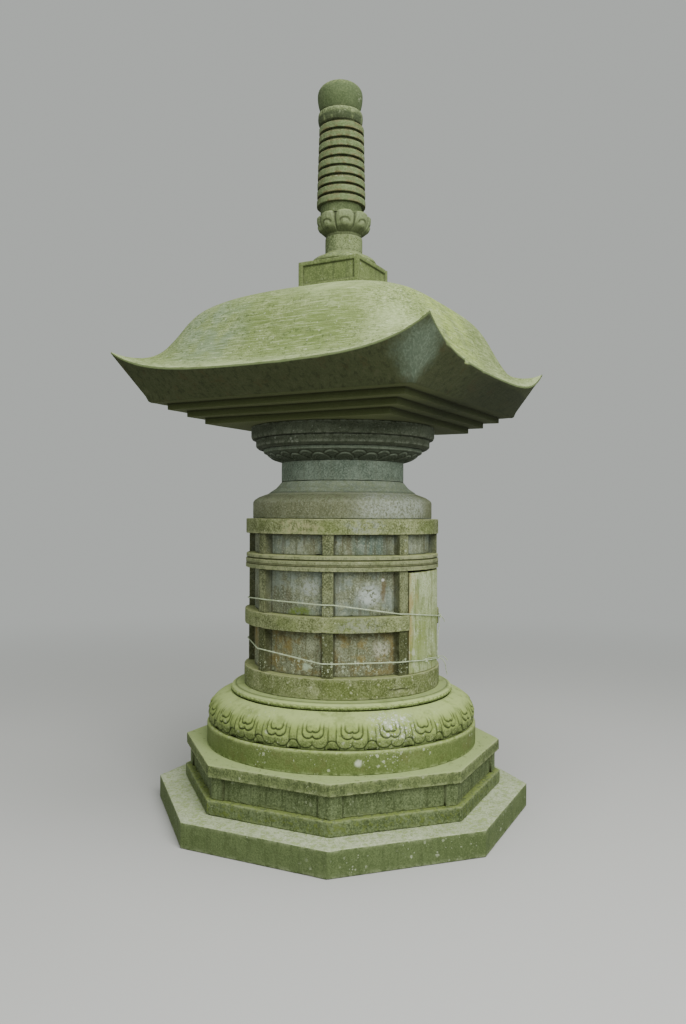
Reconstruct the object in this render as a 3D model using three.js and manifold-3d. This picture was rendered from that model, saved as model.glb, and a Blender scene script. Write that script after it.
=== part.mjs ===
import * as THREE from "three";
import { mergeVertices } from "three/addons/utils/BufferGeometryUtils.js";
import Module from "manifold-3d";

// A round stone pagoda with one square roof, about 3.8 m tall.
// Millimetres, +Z up, the origin at the centre of the ground slab's underside.
// The roof's sides lie along X and Y, and the doorway looks along -Y.
// A bearing is in degrees, from -Y towards +X.

const wasm = await Module();
wasm.setup();

// Driving dimensions
const gap = 0.3; // left between stones that bear on each other
const plinthTurn = 2.3; // how far each storey was set turned from the roof
const drumTurn = -2.2;
const finialTurn = 28.2;
const roundSides = 56;
const finialSides = 32;

const slab = { corner: 964, height: 120 };
const moulding = { corner: 826, height: 67 };
const die = { corner: 800, height: 103, postWidth: 59, postDepth: 60, recess: 10 };
const coping = { corner: 821, height: 58 };
const lotus = { radius: 696, height: 291, skirt: 97 };
const drum = { posts: 8, postWidth: 56, postRadius: 495, panelRadius: 455, chamberRadius: 330 };
const baseBand = { radius: 508, height: 99 };
const lowerWall = { height: 211 };
const midBand = { radius: 506, height: 76 };
const middleWall = { height: 212 };
const doubleBand = { radius: 503, height: 75, groove: 8 };
const upperWall = { height: 98 };
const topBand = { radius: 502, height: 76 };
const door = { radius: 500, backRadius: 440, meeting: 4.4, rebate: 4, headGap: 7, play: 0.1 };
const shoulder = { radius: 467, height: 188, wall: 82, stepRadius: 377 };
const neck = { radius: 320, height: 101 };
const waveRing = { lower: 319, upper: 406, cap: 415, height: 66, flare: 44 };
const lowerCollar = { lower: 440, upper: 455, height: 50 };
const upperCollar = { lower: 473, upper: 479, height: 64 };
const roof = {
  stepHalf: [511, 574, 642], stepRise: [32, 32, 31], eaveFootHalf: 699, eaveHalf: 835, eaveRise: 112, lip: 10,
  tipRise: [141, 138, 141, 121], liftPower: 5.9, squareness: 2.9, cornering: 0.35, perSide: 16, rows: 22,
};
// The crown's outline at the middle of a side: half width and height above the lip
const crownOutline = [
  [835, 0], [800, 13], [760, 43], [725, 93], [690, 174], [650, 272], [610, 335], [560, 376], [500, 407],
  [400, 443], [300, 473], [205, 500],
];
const boxBase = { half: 173.5, height: 140, frame: 24, recess: 7 };
const bowl = { radius: 172, height: 142, neckRadius: 98 };
const lowerLotus = { footRadius: 94, radius: 140, height: 113 };
const ringShaft = {
  stemRadius: 109, stemHeight: 50, rings: 9, pitch: 47.6, ringHeight: 35,
  lowRadius: 129, highRadius: 119, grooveDepth: 17, neckHeight: 8,
};
const upperLotus = { footRadius: 102, radius: 119, rimRadius: 115, height: 71 };
const jewel = { radius: 119, height: 168, widest: 85, depth: 202, point: 4, power: 2.3 };
const setOff = { shaft: 15, upperLotus: 21, jewel: 23 }; // how far off the axis each stone was set
const twine = { radius: 3.5, sides: 8, onPost: 499.6, onDoor: 505.2, onBand: 511.2 };

const part = new THREE.Group();

function stoneMaterial(color, roughness) {
  return new THREE.MeshStandardMaterial({ color, roughness, metalness: 0 });
}

function addStone(group, name, geometry, height, material) {
  const mesh = new THREE.Mesh(geometry, material);
  mesh.name = name;
  mesh.position.z = height;
  group.add(mesh);
  return mesh;
}

function turnedGroup(degrees) {
  const group = new THREE.Group();
  group.rotation.z = THREE.MathUtils.degToRad(degrees);
  part.add(group);
  return group;
}

// A point in plan at a radius and a bearing
function planPoint(radius, bearing) {
  const angle = THREE.MathUtils.degToRad(bearing);
  return new THREE.Vector2(radius * Math.sin(angle), -radius * Math.cos(angle));
}

function arc(radius, from, to, segments) {
  const points = [];
  for (let i = 0; i <= segments; i++) points.push(planPoint(radius, from + ((to - from) * i) / segments));
  return points;
}

function prism(outline, height) {
  return new THREE.ExtrudeGeometry(new THREE.Shape(outline), { depth: height - gap, bevelEnabled: false });
}

// An octagonal stone with flat faces towards the bearings 0, 45, 90...
function octagon(corner, height) {
  return prism(arc(corner, -22.5, 292.5, 7), height);
}

// A turned stone: its profile runs from the axis at the foot to the axis at the top
function turned(profile, segments) {
  const points = profile.map(([radius, height]) => new THREE.Vector2(radius, height));
  const top = points[points.length - 1].y;
  const outline = [new THREE.Vector2(0, points[0].y), ...points, new THREE.Vector2(0, top)];
  return new THREE.LatheGeometry(outline, segments).rotateX(Math.PI / 2);
}

// Octagonal plinth: slab, moulding, corner posts with panels between them, core and coping
function buildPlinth() {
  const group = turnedGroup(plinthTurn);
  const stone = stoneMaterial(0x6f7446, 0.95);
  let level = 0;
  addStone(group, "ground_slab", octagon(slab.corner, slab.height), level, stoneMaterial(0x9b9a80, 0.95));
  level += slab.height;
  addStone(group, "plinth_moulding", octagon(moulding.corner, moulding.height), level, stone);
  level += moulding.height;
  buildDie(group, level);
  level += die.height;
  const mossyStone = stoneMaterial(0x858c58, 0.95);
  addStone(group, "plinth_coping", octagon(coping.corner, coping.height), level, mossyStone);
  return level + coping.height;
}

function buildDie(group, level) {
  const stone = stoneMaterial(0x676a48, 0.95);
  const faceDistance = die.corner * Math.cos(Math.PI / 8);
  const halfSide = die.corner * Math.sin(Math.PI / 8);
  const coreDistance = faceDistance - die.postDepth;
  const coreCorner = coreDistance / Math.cos(Math.PI / 8);
  const panelHalf = halfSide - die.postWidth - gap;
  const panelOutline = [
    new THREE.Vector2(-panelHalf, -(faceDistance - die.recess)),
    new THREE.Vector2(panelHalf, -(faceDistance - die.recess)),
    new THREE.Vector2(panelHalf, -(coreDistance + gap)),
    new THREE.Vector2(-panelHalf, -(coreDistance + gap)),
  ];
  for (let side = 0; side < 8; side++) {
    const panel = addStone(group, `plinth_panel_${side + 1}`, prism(panelOutline, die.height), level, stone);
    panel.rotation.z = (side * Math.PI) / 4;
    const post = addStone(group, `plinth_post_${side + 1}`, cornerPost(faceDistance, halfSide), level, stone);
    post.rotation.z = (side * Math.PI) / 4;
  }
  addStone(group, "plinth_core", octagon(coreCorner, die.height), level, stone);
}

// A post that wraps the octagon's corner at bearing 22.5
function cornerPost(faceDistance, halfSide) {
  const inner = faceDistance - die.postDepth + gap;
  const innerHalf = inner * Math.tan(Math.PI / 8);
  const nearEdge = halfSide - die.postWidth;
  const along = (x, y) => new THREE.Vector2(x, y).rotateAround(new THREE.Vector2(), Math.PI / 4);
  const outline = [
    new THREE.Vector2(nearEdge, -faceDistance),
    new THREE.Vector2(halfSide, -faceDistance),
    along(-nearEdge, -faceDistance),
    along(-nearEdge, -inner),
    new THREE.Vector2(innerHalf, -inner),
    new THREE.Vector2(nearEdge, -inner),
  ];
  return prism(outline, die.height);
}

// Lotus stone: a plain skirt, the swelling petal zone, a beaded ring and the drum's seat
function buildLotus(level) {
  const profile = [
    [lotus.radius, 0], [lotus.radius, lotus.skirt], [lotus.radius - 4, lotus.skirt + 8],
    [lotus.radius - 13, lotus.skirt + 8], [lotus.radius - 9, lotus.skirt + 28],
    [lotus.radius - 6, lotus.skirt + 50], [lotus.radius - 9, lotus.skirt + 76],
    [lotus.radius - 21, lotus.skirt + 101], [lotus.radius - 43, lotus.skirt + 124],
    [lotus.radius - 72, lotus.skirt + 141], [lotus.radius - 120, lotus.skirt + 158],
    [576, lotus.skirt + 166], [576, lotus.skirt + 180], [566, lotus.skirt + 190],
    [550, lotus.skirt + 190], [546, lotus.height - gap],
  ];
  const stone = stoneMaterial(0x8c9a5a, 0.95);
  addStone(turnedGroup(plinthTurn), "lotus_base", turned(profile, roundSides), level, stone);
  return level + lotus.height;
}

const bay = 360 / drum.posts;
const postHalf = THREE.MathUtils.radToDeg(drum.postWidth / 2 / drum.postRadius);
const jamb = bay / 2 - postHalf;

// The wall's outer outline from one bearing to another, with posts half way between the bays
function wallOutline(firstPost, lastPost) {
  const points = [];
  for (let post = firstPost; post <= lastPost; post++) {
    const centre = (post + 0.5) * bay;
    points.push(...arc(drum.postRadius, centre - postHalf, centre + postHalf, 2));
    if (post < lastPost) points.push(...arc(drum.panelRadius, centre + postHalf, centre + bay - postHalf, 6));
  }
  return points;
}

// Closes an outline that runs round from one jamb to the other with the rebate and the chamber
function closeAtDoorway(outer) {
  const inside = jamb - door.rebate;
  return [
    ...outer,
    planPoint(door.backRadius, 360 - jamb),
    planPoint(door.backRadius, 360 - inside),
    ...arc(drum.chamberRadius, 360 - inside, inside, 40),
    planPoint(door.backRadius, inside),
    planPoint(door.backRadius, jamb),
  ];
}

function band({ radius, height }) {
  return turned([[radius, 0], [radius, height - gap]], roundSides);
}

function doubleBandProfile() {
  const { radius, height, groove } = doubleBand;
  return [
    [radius, 0], [radius, 35], [radius - groove, 38], [radius - groove, 43], [radius - 2, 46],
    [radius - 2, height - 9], [radius - 8, height - gap],
  ];
}

// Drum: three walls with raised posts, held apart by four bands, and the closed doorway
function buildDrum(foot) {
  const group = turnedGroup(drumTurn);
  const bandStone = stoneMaterial(0x73754c, 0.95);
  const wallStone = stoneMaterial(0x80826a, 0.95);
  let level = foot;
  addStone(group, "drum_base_band", band(baseBand), level, bandStone);
  level += baseBand.height;
  buildDoor(group, level);
  const openWall = closeAtDoorway(wallOutline(0, drum.posts - 1));
  addStone(group, "drum_lower_wall", prism(openWall, lowerWall.height), level, wallStone);
  level += lowerWall.height;
  const openBand = closeAtDoorway(arc(midBand.radius, jamb, 360 - jamb, 50));
  addStone(group, "drum_middle_band", prism(openBand, midBand.height), level, bandStone);
  level += midBand.height;
  addStone(group, "drum_middle_wall", prism(openWall, middleWall.height), level, wallStone);
  level += middleWall.height;
  addStone(group, "drum_double_band", turned(doubleBandProfile(), roundSides), level, bandStone);
  level += doubleBand.height;
  const closedWall = [...wallOutline(0, drum.posts - 1), ...arc(drum.panelRadius, 360 - jamb, 360 + jamb, 6)];
  addStone(group, "drum_upper_wall", prism(closedWall, upperWall.height), level, wallStone);
  level += upperWall.height;
  addStone(group, "drum_top_band", band(topBand), level, bandStone);
  buildTwine(group, "upper_twine", upperTwineRoute(), foot);
  buildTwine(group, "lower_twine", lowerTwineRoute(), foot);
  return level + topBand.height;
}

// Two stone leaves stand side by side in the doorway's rebate
function buildDoor(group, level) {
  const height = lowerWall.height + midBand.height + middleWall.height - door.headGap;
  const stone = stoneMaterial(0x9c9f74, 0.95);
  const leaf = (from, to, segments) => {
    const outline = [
      ...arc(door.radius, from, to, segments),
      ...arc(door.backRadius + gap, to, from, segments),
    ];
    return prism(outline, height);
  };
  addStone(group, "door_leaf_left", leaf(-jamb + door.play, door.meeting - door.play, 6), level, stone);
  addStone(group, "door_leaf_right", leaf(door.meeting + door.play, jamb - door.play, 4), level, stone);
}

// A route whose samples fall on its own points
class TautRoute extends THREE.CatmullRomCurve3 {
  getPointAt(u, target) {
    return this.getPoint(u, target);
  }
  getTangentAt(u, target) {
    return this.getTangent(u, target);
  }
}

// Points of a twine that lies on a round face, from one bearing and height to another
function onFace(radius, [from, startHeight], [to, endHeight]) {
  const count = Math.ceil((to - from) / 7);
  return Array.from({ length: count + 1 }, (_, i) => [
    from + ((to - from) * i) / count, radius, startHeight + ((endHeight - startHeight) * i) / count,
  ]);
}

// Points of a twine that bends over a post's two edges, for each post from the second on
function overPosts(firstPost, heights) {
  return heights.flatMap((height, i) => {
    const centre = (firstPost + i - 0.5) * bay;
    return [[centre - 3.3, twine.onPost, height], [centre + 3.3, twine.onPost, height]];
  });
}

// Each twine starts and ends at its knot on the door's right post; heights are above the drum's foot
function upperTwineRoute() {
  return [
    ...onFace(twine.onBand, [22.4, 350], [104, 391.5]),
    ...overPosts(3, [394, 409, 427, 452, 443]),
    [334.2, twine.onPost, 394], [340.6, 504.4, 390.4],
    ...onFace(twine.onDoor, [344, 387], [376, 354]),
    [378.4, 510.6, 352], [381.6, twine.onBand, 350.2],
  ];
}

function lowerTwineRoute() {
  return [
    [24, twine.onPost, 134.4], [25.8, twine.onPost, 135],
    ...overPosts(2, [151, 171, 191, 215, 207, 168]),
    [334.2, twine.onPost, 164.6], [340.6, 504.4, 164],
    ...onFace(twine.onDoor, [344, 162.6], [378.8, 137]),
    [381.8, twine.onPost, 135.2], [383.2, twine.onPost, 134.6],
  ];
}

function buildTwine(group, name, route, foot) {
  const points = route.map(([bearing, radius, height]) => {
    const { x, y } = planPoint(radius, bearing);
    return new THREE.Vector3(x, y, height);
  });
  const path = new TautRoute(points, false, "catmullrom", 0.05);
  const section = new THREE.Shape(arc(twine.radius, 0, 360 - 360 / twine.sides, twine.sides - 1));
  const geometry = new THREE.ExtrudeGeometry(section, { steps: points.length - 1, extrudePath: path });
  addStone(group, name, geometry, foot, stoneMaterial(0xb9c4a2, 0.8));
}

// Shoulder, neck, flared wave ring and two collars, all turned
function buildNeck(foot) {
  const group = turnedGroup(0);
  const stone = stoneMaterial(0x74795f, 0.95);
  let level = foot;
  const shoulderProfile = [
    [shoulder.radius, 0], [shoulder.radius, shoulder.wall], [shoulder.radius - 8, shoulder.wall + 12],
    [shoulder.radius - 30, shoulder.wall + 26], [shoulder.radius - 60, shoulder.wall + 38],
    [shoulder.stepRadius + 8, shoulder.wall + 46], [shoulder.stepRadius, shoulder.wall + 54],
    [neck.radius + 26, shoulder.wall + 74], [neck.radius, shoulder.height - gap],
  ];
  addStone(group, "shoulder", turned(shoulderProfile, roundSides), level, stone);
  level += shoulder.height;
  addStone(group, "neck", band(neck), level, stone);
  level += neck.height;
  const waveProfile = [
    [waveRing.lower, 0], [waveRing.lower + 40, 12], [waveRing.lower + 68, 26],
    [waveRing.upper, waveRing.flare], [waveRing.cap, waveRing.flare + 6],
    [waveRing.cap, waveRing.height - gap],
  ];
  addStone(group, "wave_ring", turned(waveProfile, roundSides), level, stone);
  level += waveRing.height;
  for (const [name, collar] of [["lower_collar", lowerCollar], ["upper_collar", upperCollar]]) {
    const profile = [[collar.lower, 0], [collar.upper, 14], [collar.upper, collar.height - gap]];
    addStone(group, name, turned(profile, roundSides), level, stone);
    level += collar.height;
  }
  return level;
}

// A square ring of points, lifted towards its corners by a share of their rise, and rounded in plan: a
// superellipse of the given power, which is a circle at 2 and a square at infinity
function squareRing(half, height, share = 0, power = Infinity) {
  const points = [];
  for (let side = 0; side < 4; side++) {
    for (let i = 0; i < roof.perSide; i++) {
      const along = (2 * i) / roof.perSide - 1;
      const scale = half / (1 + Math.abs(along) ** power) ** (1 / power);
      const lift = share * roof.tipRise[along > 0 ? (side + 1) % 4 : side];
      const z = height + lift * (0.27 * along ** 2 + 0.73 * Math.abs(along) ** 5);
      const point = new THREE.Vector3(scale * along, -scale, z);
      points.push(point.applyAxisAngle(new THREE.Vector3(0, 0, 1), (side * Math.PI) / 2));
    }
  }
  return points;
}

// Joins rings of equal count, from the foot up, into one closed body
function loft(rings) {
  const count = rings[0].length;
  const positions = rings.flat().flatMap((p) => [p.x, p.y, p.z]);
  const index = [];
  for (let r = 0; r < rings.length - 1; r++) {
    for (let i = 0; i < count; i++) {
      const a = r * count + i;
      const b = r * count + ((i + 1) % count);
      index.push(a, b, b + count, a, b + count, a + count);
    }
  }
  const centre = (ring) => ring.reduce((sum, p) => sum.add(p), new THREE.Vector3()).divideScalar(count);
  const foot = positions.length / 3;
  for (const ring of [rings[0], rings[rings.length - 1]]) {
    const middle = centre(ring);
    positions.push(middle.x, middle.y, middle.z);
  }
  const last = (rings.length - 1) * count;
  for (let i = 0; i < count; i++) {
    const next = (i + 1) % count;
    index.push(foot, next, i, foot + 1, last + i, last + next);
  }
  const geometry = new THREE.BufferGeometry();
  geometry.setAttribute("position", new THREE.Float32BufferAttribute(positions, 3));
  geometry.setIndex(index);
  return geometry;
}

// Roof: three corbel steps, a leaning eave whose lip rises to the corners, and a domed crown
function buildRoof(foot) {
  const rings = [squareRing(roof.stepHalf[0], 0)];
  let level = 0;
  roof.stepHalf.forEach((half, step) => {
    level += roof.stepRise[step];
    rings.push(squareRing(half, level));
    rings.push(squareRing(roof.stepHalf[step + 1] ?? roof.eaveFootHalf, level));
  });
  level += roof.eaveRise;
  rings.push(squareRing(roof.eaveHalf, level, 1));
  level += roof.lip;
  const crown = new THREE.SplineCurve(crownOutline.map(([half, height]) => new THREE.Vector2(half, height)));
  for (const { x: half, y: height } of crown.getPoints(roof.rows)) {
    const inward = (roof.eaveHalf - half) / (roof.eaveHalf - crownOutline.at(-1)[0]);
    const power = roof.squareness + roof.cornering * inward ** -1.5;
    rings.push(squareRing(half, level + height, (1 - inward) ** roof.liftPower, power));
  }
  addStone(turnedGroup(0), "roof", loft(rings), foot, stoneMaterial(0x8d9464, 0.95));
  return foot + level + crownOutline.at(-1)[1];
}

function solidOf(geometry) {
  const bare = geometry.clone();
  bare.deleteAttribute("normal");
  bare.deleteAttribute("uv");
  const merged = mergeVertices(bare, 1e-3);
  return new wasm.Manifold(new wasm.Mesh({
    numProp: 3,
    vertProperties: new Float32Array(merged.attributes.position.array),
    triVerts: new Uint32Array(merged.index.array),
  }));
}

function geometryOf(solid) {
  const { vertProperties, triVerts } = solid.getMesh();
  const geometry = new THREE.BufferGeometry();
  geometry.setAttribute("position", new THREE.BufferAttribute(vertProperties, 3));
  geometry.setIndex(new THREE.BufferAttribute(triVerts, 1));
  return geometry;
}

// The square base of the finial, with one sunk panel in each side
function boxBaseGeometry() {
  const { half, height, frame, recess } = boxBase;
  let solid = solidOf(new THREE.BoxGeometry(2 * half, 2 * half, height - gap));
  const cutter = new THREE.BoxGeometry(2 * (half - frame), 2 * recess, height - 2 * frame);
  for (let side = 0; side < 4; side++) {
    const panel = cutter.clone().translate(0, -half, 0).rotateZ((side * Math.PI) / 2);
    solid = solid.subtract(solidOf(panel));
  }
  return geometryOf(solid).translate(0, 0, height / 2);
}

// Nine rings on one shaft, narrowing upwards
function ringShaftProfile() {
  const { stemRadius, stemHeight, rings, pitch, ringHeight, lowRadius, highRadius, grooveDepth } = ringShaft;
  const profile = [[stemRadius, 0], [stemRadius, stemHeight]];
  for (let ring = 0; ring < rings; ring++) {
    const radius = lowRadius + ((highRadius - lowRadius) * ring) / (rings - 1);
    const foot = stemHeight + ring * pitch;
    profile.push([radius, foot], [radius, foot + ringHeight], [radius - grooveDepth, foot + ringHeight]);
    const above = ring < rings - 1 ? foot + pitch : foot + ringHeight + ringShaft.neckHeight;
    profile.push([radius - grooveDepth, above]);
  }
  return profile;
}

function buildFinial(foot) {
  const stone = stoneMaterial(0x6f7558, 0.95);
  let level = foot;
  addStone(turnedGroup(0), "finial_box", boxBaseGeometry(), level, stoneMaterial(0x767c50, 0.95));
  level += boxBase.height;
  const group = turnedGroup(finialTurn);
  const bowlProfile = [
    [bowl.radius, 0], [bowl.radius, 9], [bowl.radius - 8, 21], [bowl.radius - 24, 32], [bowl.radius - 48, 42],
    [bowl.neckRadius + 7, 51], [bowl.neckRadius, 62], [bowl.neckRadius, bowl.height - gap],
  ];
  addStone(group, "inverted_bowl", turned(bowlProfile, finialSides), level, stone);
  level += bowl.height;
  const { footRadius, radius, height } = lowerLotus;
  const lowerProfile = [
    [footRadius - 8, 0], [footRadius, 14], [footRadius + 24, 32], [footRadius + 38, 56], [radius, 86],
    [radius - 2, height - 8], [radius - 10, height - gap],
  ];
  addStone(group, "lower_lotus", turned(lowerProfile, finialSides), level, stone);
  level += height;
  const shaftProfile = ringShaftProfile();
  addStone(group, "ringed_shaft", turned(shaftProfile, finialSides), level, stone).position.y = setOff.shaft;
  level += shaftProfile[shaftProfile.length - 1][1] + gap;
  const upperProfile = [
    [upperLotus.footRadius, 0], [upperLotus.footRadius + 10, 7], [upperLotus.radius - 2, 20],
    [upperLotus.radius, 38], [upperLotus.radius - 1, 58], [upperLotus.rimRadius, upperLotus.height - gap],
  ];
  const upper = addStone(group, "upper_lotus", turned(upperProfile, finialSides), level, stone);
  upper.position.y = setOff.upperLotus;
  level += upperLotus.height;
  addStone(group, "jewel", turned(jewelProfile(), finialSides), level, stone).position.y = setOff.jewel;
}

// A full-shouldered ball with its foot cut level and its top drawn up to a low point
function jewelProfile() {
  const { radius, height, widest, depth, point, power } = jewel;
  const profile = [];
  for (let i = 0; i < 5; i++) {
    const level = (widest * i) / 5;
    profile.push([radius * Math.sqrt(1 - ((widest - level) / depth) ** 2), level]);
  }
  for (let i = 0; i < 9; i++) {
    const angle = (i / 9) * (Math.PI / 2);
    const [across, up] = [Math.cos(angle) ** (2 / power), Math.sin(angle) ** (2 / power)];
    profile.push([radius * across, widest + (height - widest - point) * up]);
  }
  profile.push([point, height]);
  return profile;
}

const drumFoot = buildLotus(buildPlinth());
const roofTop = buildRoof(buildNeck(buildDrum(drumFoot)));
buildFinial(roofTop + gap);

export default part;
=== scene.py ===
from math import cos, pi, radians, sin
from types import SimpleNamespace

import bpy
import numpy as np
from mathutils import Matrix, Vector


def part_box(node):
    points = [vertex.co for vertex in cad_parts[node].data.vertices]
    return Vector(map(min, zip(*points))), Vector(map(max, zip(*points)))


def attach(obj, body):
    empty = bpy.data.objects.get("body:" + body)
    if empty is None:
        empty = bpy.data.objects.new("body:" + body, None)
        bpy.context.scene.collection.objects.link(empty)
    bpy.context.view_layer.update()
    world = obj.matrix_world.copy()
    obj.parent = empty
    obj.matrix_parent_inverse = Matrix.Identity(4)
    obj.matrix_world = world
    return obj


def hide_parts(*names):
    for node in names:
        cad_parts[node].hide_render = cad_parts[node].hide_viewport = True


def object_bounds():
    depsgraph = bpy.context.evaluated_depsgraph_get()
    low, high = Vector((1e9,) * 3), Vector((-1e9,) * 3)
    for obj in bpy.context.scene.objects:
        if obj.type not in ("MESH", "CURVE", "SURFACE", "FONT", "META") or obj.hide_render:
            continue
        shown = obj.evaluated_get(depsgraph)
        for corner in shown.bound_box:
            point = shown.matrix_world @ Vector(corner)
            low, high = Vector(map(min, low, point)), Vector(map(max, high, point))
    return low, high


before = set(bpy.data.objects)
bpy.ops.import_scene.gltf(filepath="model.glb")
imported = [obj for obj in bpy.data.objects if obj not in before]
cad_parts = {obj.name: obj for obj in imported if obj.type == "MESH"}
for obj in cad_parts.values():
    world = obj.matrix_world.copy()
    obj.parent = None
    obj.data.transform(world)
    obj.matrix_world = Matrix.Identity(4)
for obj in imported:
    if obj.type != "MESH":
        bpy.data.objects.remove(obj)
cad_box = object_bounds()

# Lengths are in millimetres until a mesh is made; bearings are in degrees from -Y towards +X
MM = 0.001
WELD = 0.2 * MM

# How far the storeys are turned, and how many columns of points a stone of each kind has round the axis
PLINTH_TURN = 2.3
DRUM_TURN = -2.2
FINIAL_TURN = 28.2
AROUND = SimpleNamespace(lotus=320, band=400, open_band=360, neck=288, finial=160, petals=240, ring=120)

# Octagonal plinth: distances from the axis to the middle of a side, and half a post's width in degrees
FLAT = cos(pi / 8)
POST_SPREAD = 4.02
DIE = SimpleNamespace(post=739.1, panel=729.1, back=679.6)

# Lotus stone: its ledge as (inset from the skirt, rise above it, step between points), its top as
# (reach, rise above the skirt, step), the petals' swell as (inset, rise), and each fold of a petal as
# (half width, foot, share of the half width between its two lobes)
SKIRT_HEIGHT = 97
LEDGE = [(0, 0, 7), (4, 8, 4), (28, 8, 8), (34, 60, 30)]
LOTUS_TOP = [
    (560, 152, 30), (564, 158, 7), (571, 163, 4), (573.5, 172, 4), (571, 182, 4), (563, 189, 4), (550, 190, 5),
]
LOTUS_HEAD = 546
SWELL = [(13, 8.5), (9, 28), (6, 50), (9, 76), (21, 101), (43, 124), (72, 141), (120, 158)]
PETALS = 24
PETAL = {"outer": (70, 10, 0.46), "middle": (48, 54, 0.44), "inner": (30, 82, 0.4)}
BEADS = 96
BEAD = SimpleNamespace(ring=568.5, width=18.4, depth=7, rise=10, above_skirt=170)

# Drum: its bands as (reach, share of the height), and a post's face as (distance from its middle, share of
# its depth). The doorway's sides and the crack's ends are bearings.
POSTS = 8
BAY = 360 / POSTS
WALL = SimpleNamespace(panel=455, post=40, inside=331, jamb=19.26)
DOOR = SimpleNamespace(face=500, back=441, left=-19.15, meeting=4.4, right=19.15, play=0.1)
CRACK = SimpleNamespace(height=676, start=-34, end=-18.5, depth=6, spall=3.2)
BASE_BAND, MIDDLE_BAND, TOP_BAND = ([(reach, 0), (reach, 1)] for reach in (508, 506, 502))
DOUBLE_BAND = [
    (503, 0), (503, 0.27), (499, 0.285), (499, 0.31), (502.5, 0.33), (502.5, 0.37), (499, 0.385), (502.5, 0.41),
    (502.5, 0.63), (495, 0.66), (495, 0.7), (500.5, 0.74), (500.5, 0.92), (494, 1),
]
POST_FACE = [
    (0, 1), (12, 1), (22, 0.998), (25.5, 0.985), (27.3, 0.95), (28, 0.9), (28.4, 0.8), (28.6, 0.1), (29.2, 0.02),
    (31, 0), (36, 0), (44, 0),
]

# Shoulder to collars, as (reach, height above the foot), and how deep the waves' ground, their rear and
# front rows and each step of an arc are cut
SHOULDER = [(467, 0), (467, 82), (459, 94), (437, 108), (407, 120), (385, 128), (377, 136), (346, 156), (320, 188)]
NECK = [(320, 0), (320, 101)]
LOWER_COLLAR = [(440, 0), (455, 14), (455, 50)]
UPPER_COLLAR = [(473, 0), (479, 14), (479, 64)]
WAVES = 18
WAVE_FLARE = [(319, 0), (359, 12), (387, 26), (406, 44)]
WAVE_CAP = SimpleNamespace(reach=415, rise=50)
WAVE_DEPTH = SimpleNamespace(ground=6.0, rear=3.0, front=0.6, step=1.5)

# Roof
STEP_HALF = [511, 574, 642]
STEP_RISE = [32, 32, 31]
EAVE = SimpleNamespace(foot=699, half=835, rise=112, lip=10, lift_power=5.9, squareness=2.9, cornering=0.35)
TIP_RISE = [141, 138, 141, 121]
CROWN = [
    (835, 0), (800, 13), (760, 43), (725, 93), (690, 174), (650, 272), (610, 335), (560, 376), (500, 407),
    (400, 443), (300, 473), (205, 500),
]
LIP_CHIP = SimpleNamespace(place=(-400, -835, 2176), size=17, depth=15)

# Finial, its outlines as (reach, height above the foot)
BOX = SimpleNamespace(half=173.5, frame=24, recess=7)
BOWL = SimpleNamespace(
    foot=172, sweep=[(172, 9), (164, 21), (148, 32), (124, 42), (105, 51), (98, 62)], neck=(98, 142),
)
LOWER_LOTUS = SimpleNamespace(
    foot=86, swell=[(94, 14), (118, 32), (132, 56), (140, 86), (138, 105)], mouth=130, depth=8,
)
RINGS = 9
RING = SimpleNamespace(low=129, high=119, height=35, pitch=47.6, groove=17, stem=109, stem_height=50)
UPPER_LOTUS = [(102, 0), (112, 7), (117, 20), (119, 38), (118, 58), (115, 70)]
JEWEL = SimpleNamespace(radius=119, height=167.7, widest=88, depth=154, point=4, power=2.3)
SET_OFF = SimpleNamespace(bearing=FINIAL_TURN - 180, shaft=15, upper_lotus=21, jewel=23)

# Heights above the ground, from foot to head, of the zones that differ in colour; on some of them the difference is
# painted shade
ZONE = SimpleNamespace(
    moulding=(120, 192), skirt=(348, 438), lotus_shoulder=(520, 660), lotus_top=(562, 660),
    base_band=(630, 740), low_panels=(740, 950), low_panel_foot=(750, 822), low_panel_head=(895, 935),
    high_panels=(1010, 1420), double_band=(1240, 1310), door=(760, 1230), door_foot=(750, 1010),
    shoulder=(1486, 1614), shoulder_arris=(1606, 1612), shoulder_seam=(1616, 1620), shoulder_slope=(1614, 1674),
    waves=(1775, 1841), collars=(1841, 1960), roof_steps=(1950, 2052), box=(2660, 2820),
    lower_lotus=(2954, 3067), stem=(3070, 3117), rings=(3117, 3541), upper_lotus=(3541, 3586), jewel=(3616, 3830),
)
# Half widths of the roof's pale rim and of its lip's face, and the heights that the far eave's shade fades between
RIM = SimpleNamespace(pale=(740, 826), face=(826, 831), shade=(2168, 2150))

# Patches of another colour, as (colour, bearing, reach, height, size)
BAND_PATCHES = [
    ("949c8b", -47, 505, 1448, 130), ("90977f", -50, 505, 978, 150), ("a7a67a", -84, 505, 1448, 150),
]
PANEL_PATCHES = [
    ("9fa79b", -43, 455, 1125, 95), ("bdc5bd", -42.7, 455, 1120, 66), ("a2aa9f", -79.5, 455, 1160, 74),
]
ROOF_PATCHES = [
    ("6c7f40", -92, 665, 2400, 440), ("84957a", -119, 760, 2370, 280), ("adbb88", -47, 970, 2330, 230),
    ("788b4e", -71, 760, 2290, 260), ("a6ba62", -15, 700, 2420, 380), ("a8b77f", -64, 500, 2570, 300),
]

# Studio, in metres
STUDIO = (0.47, 0.49, 0.47, 1)
MIDDLE = Vector((0, 0, 1.6))
FLOOR = SimpleNamespace(half=60.0, fade=(2.0, 9.0), colour=(0.56, 0.56, 0.54, 1))


# Noise

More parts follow.
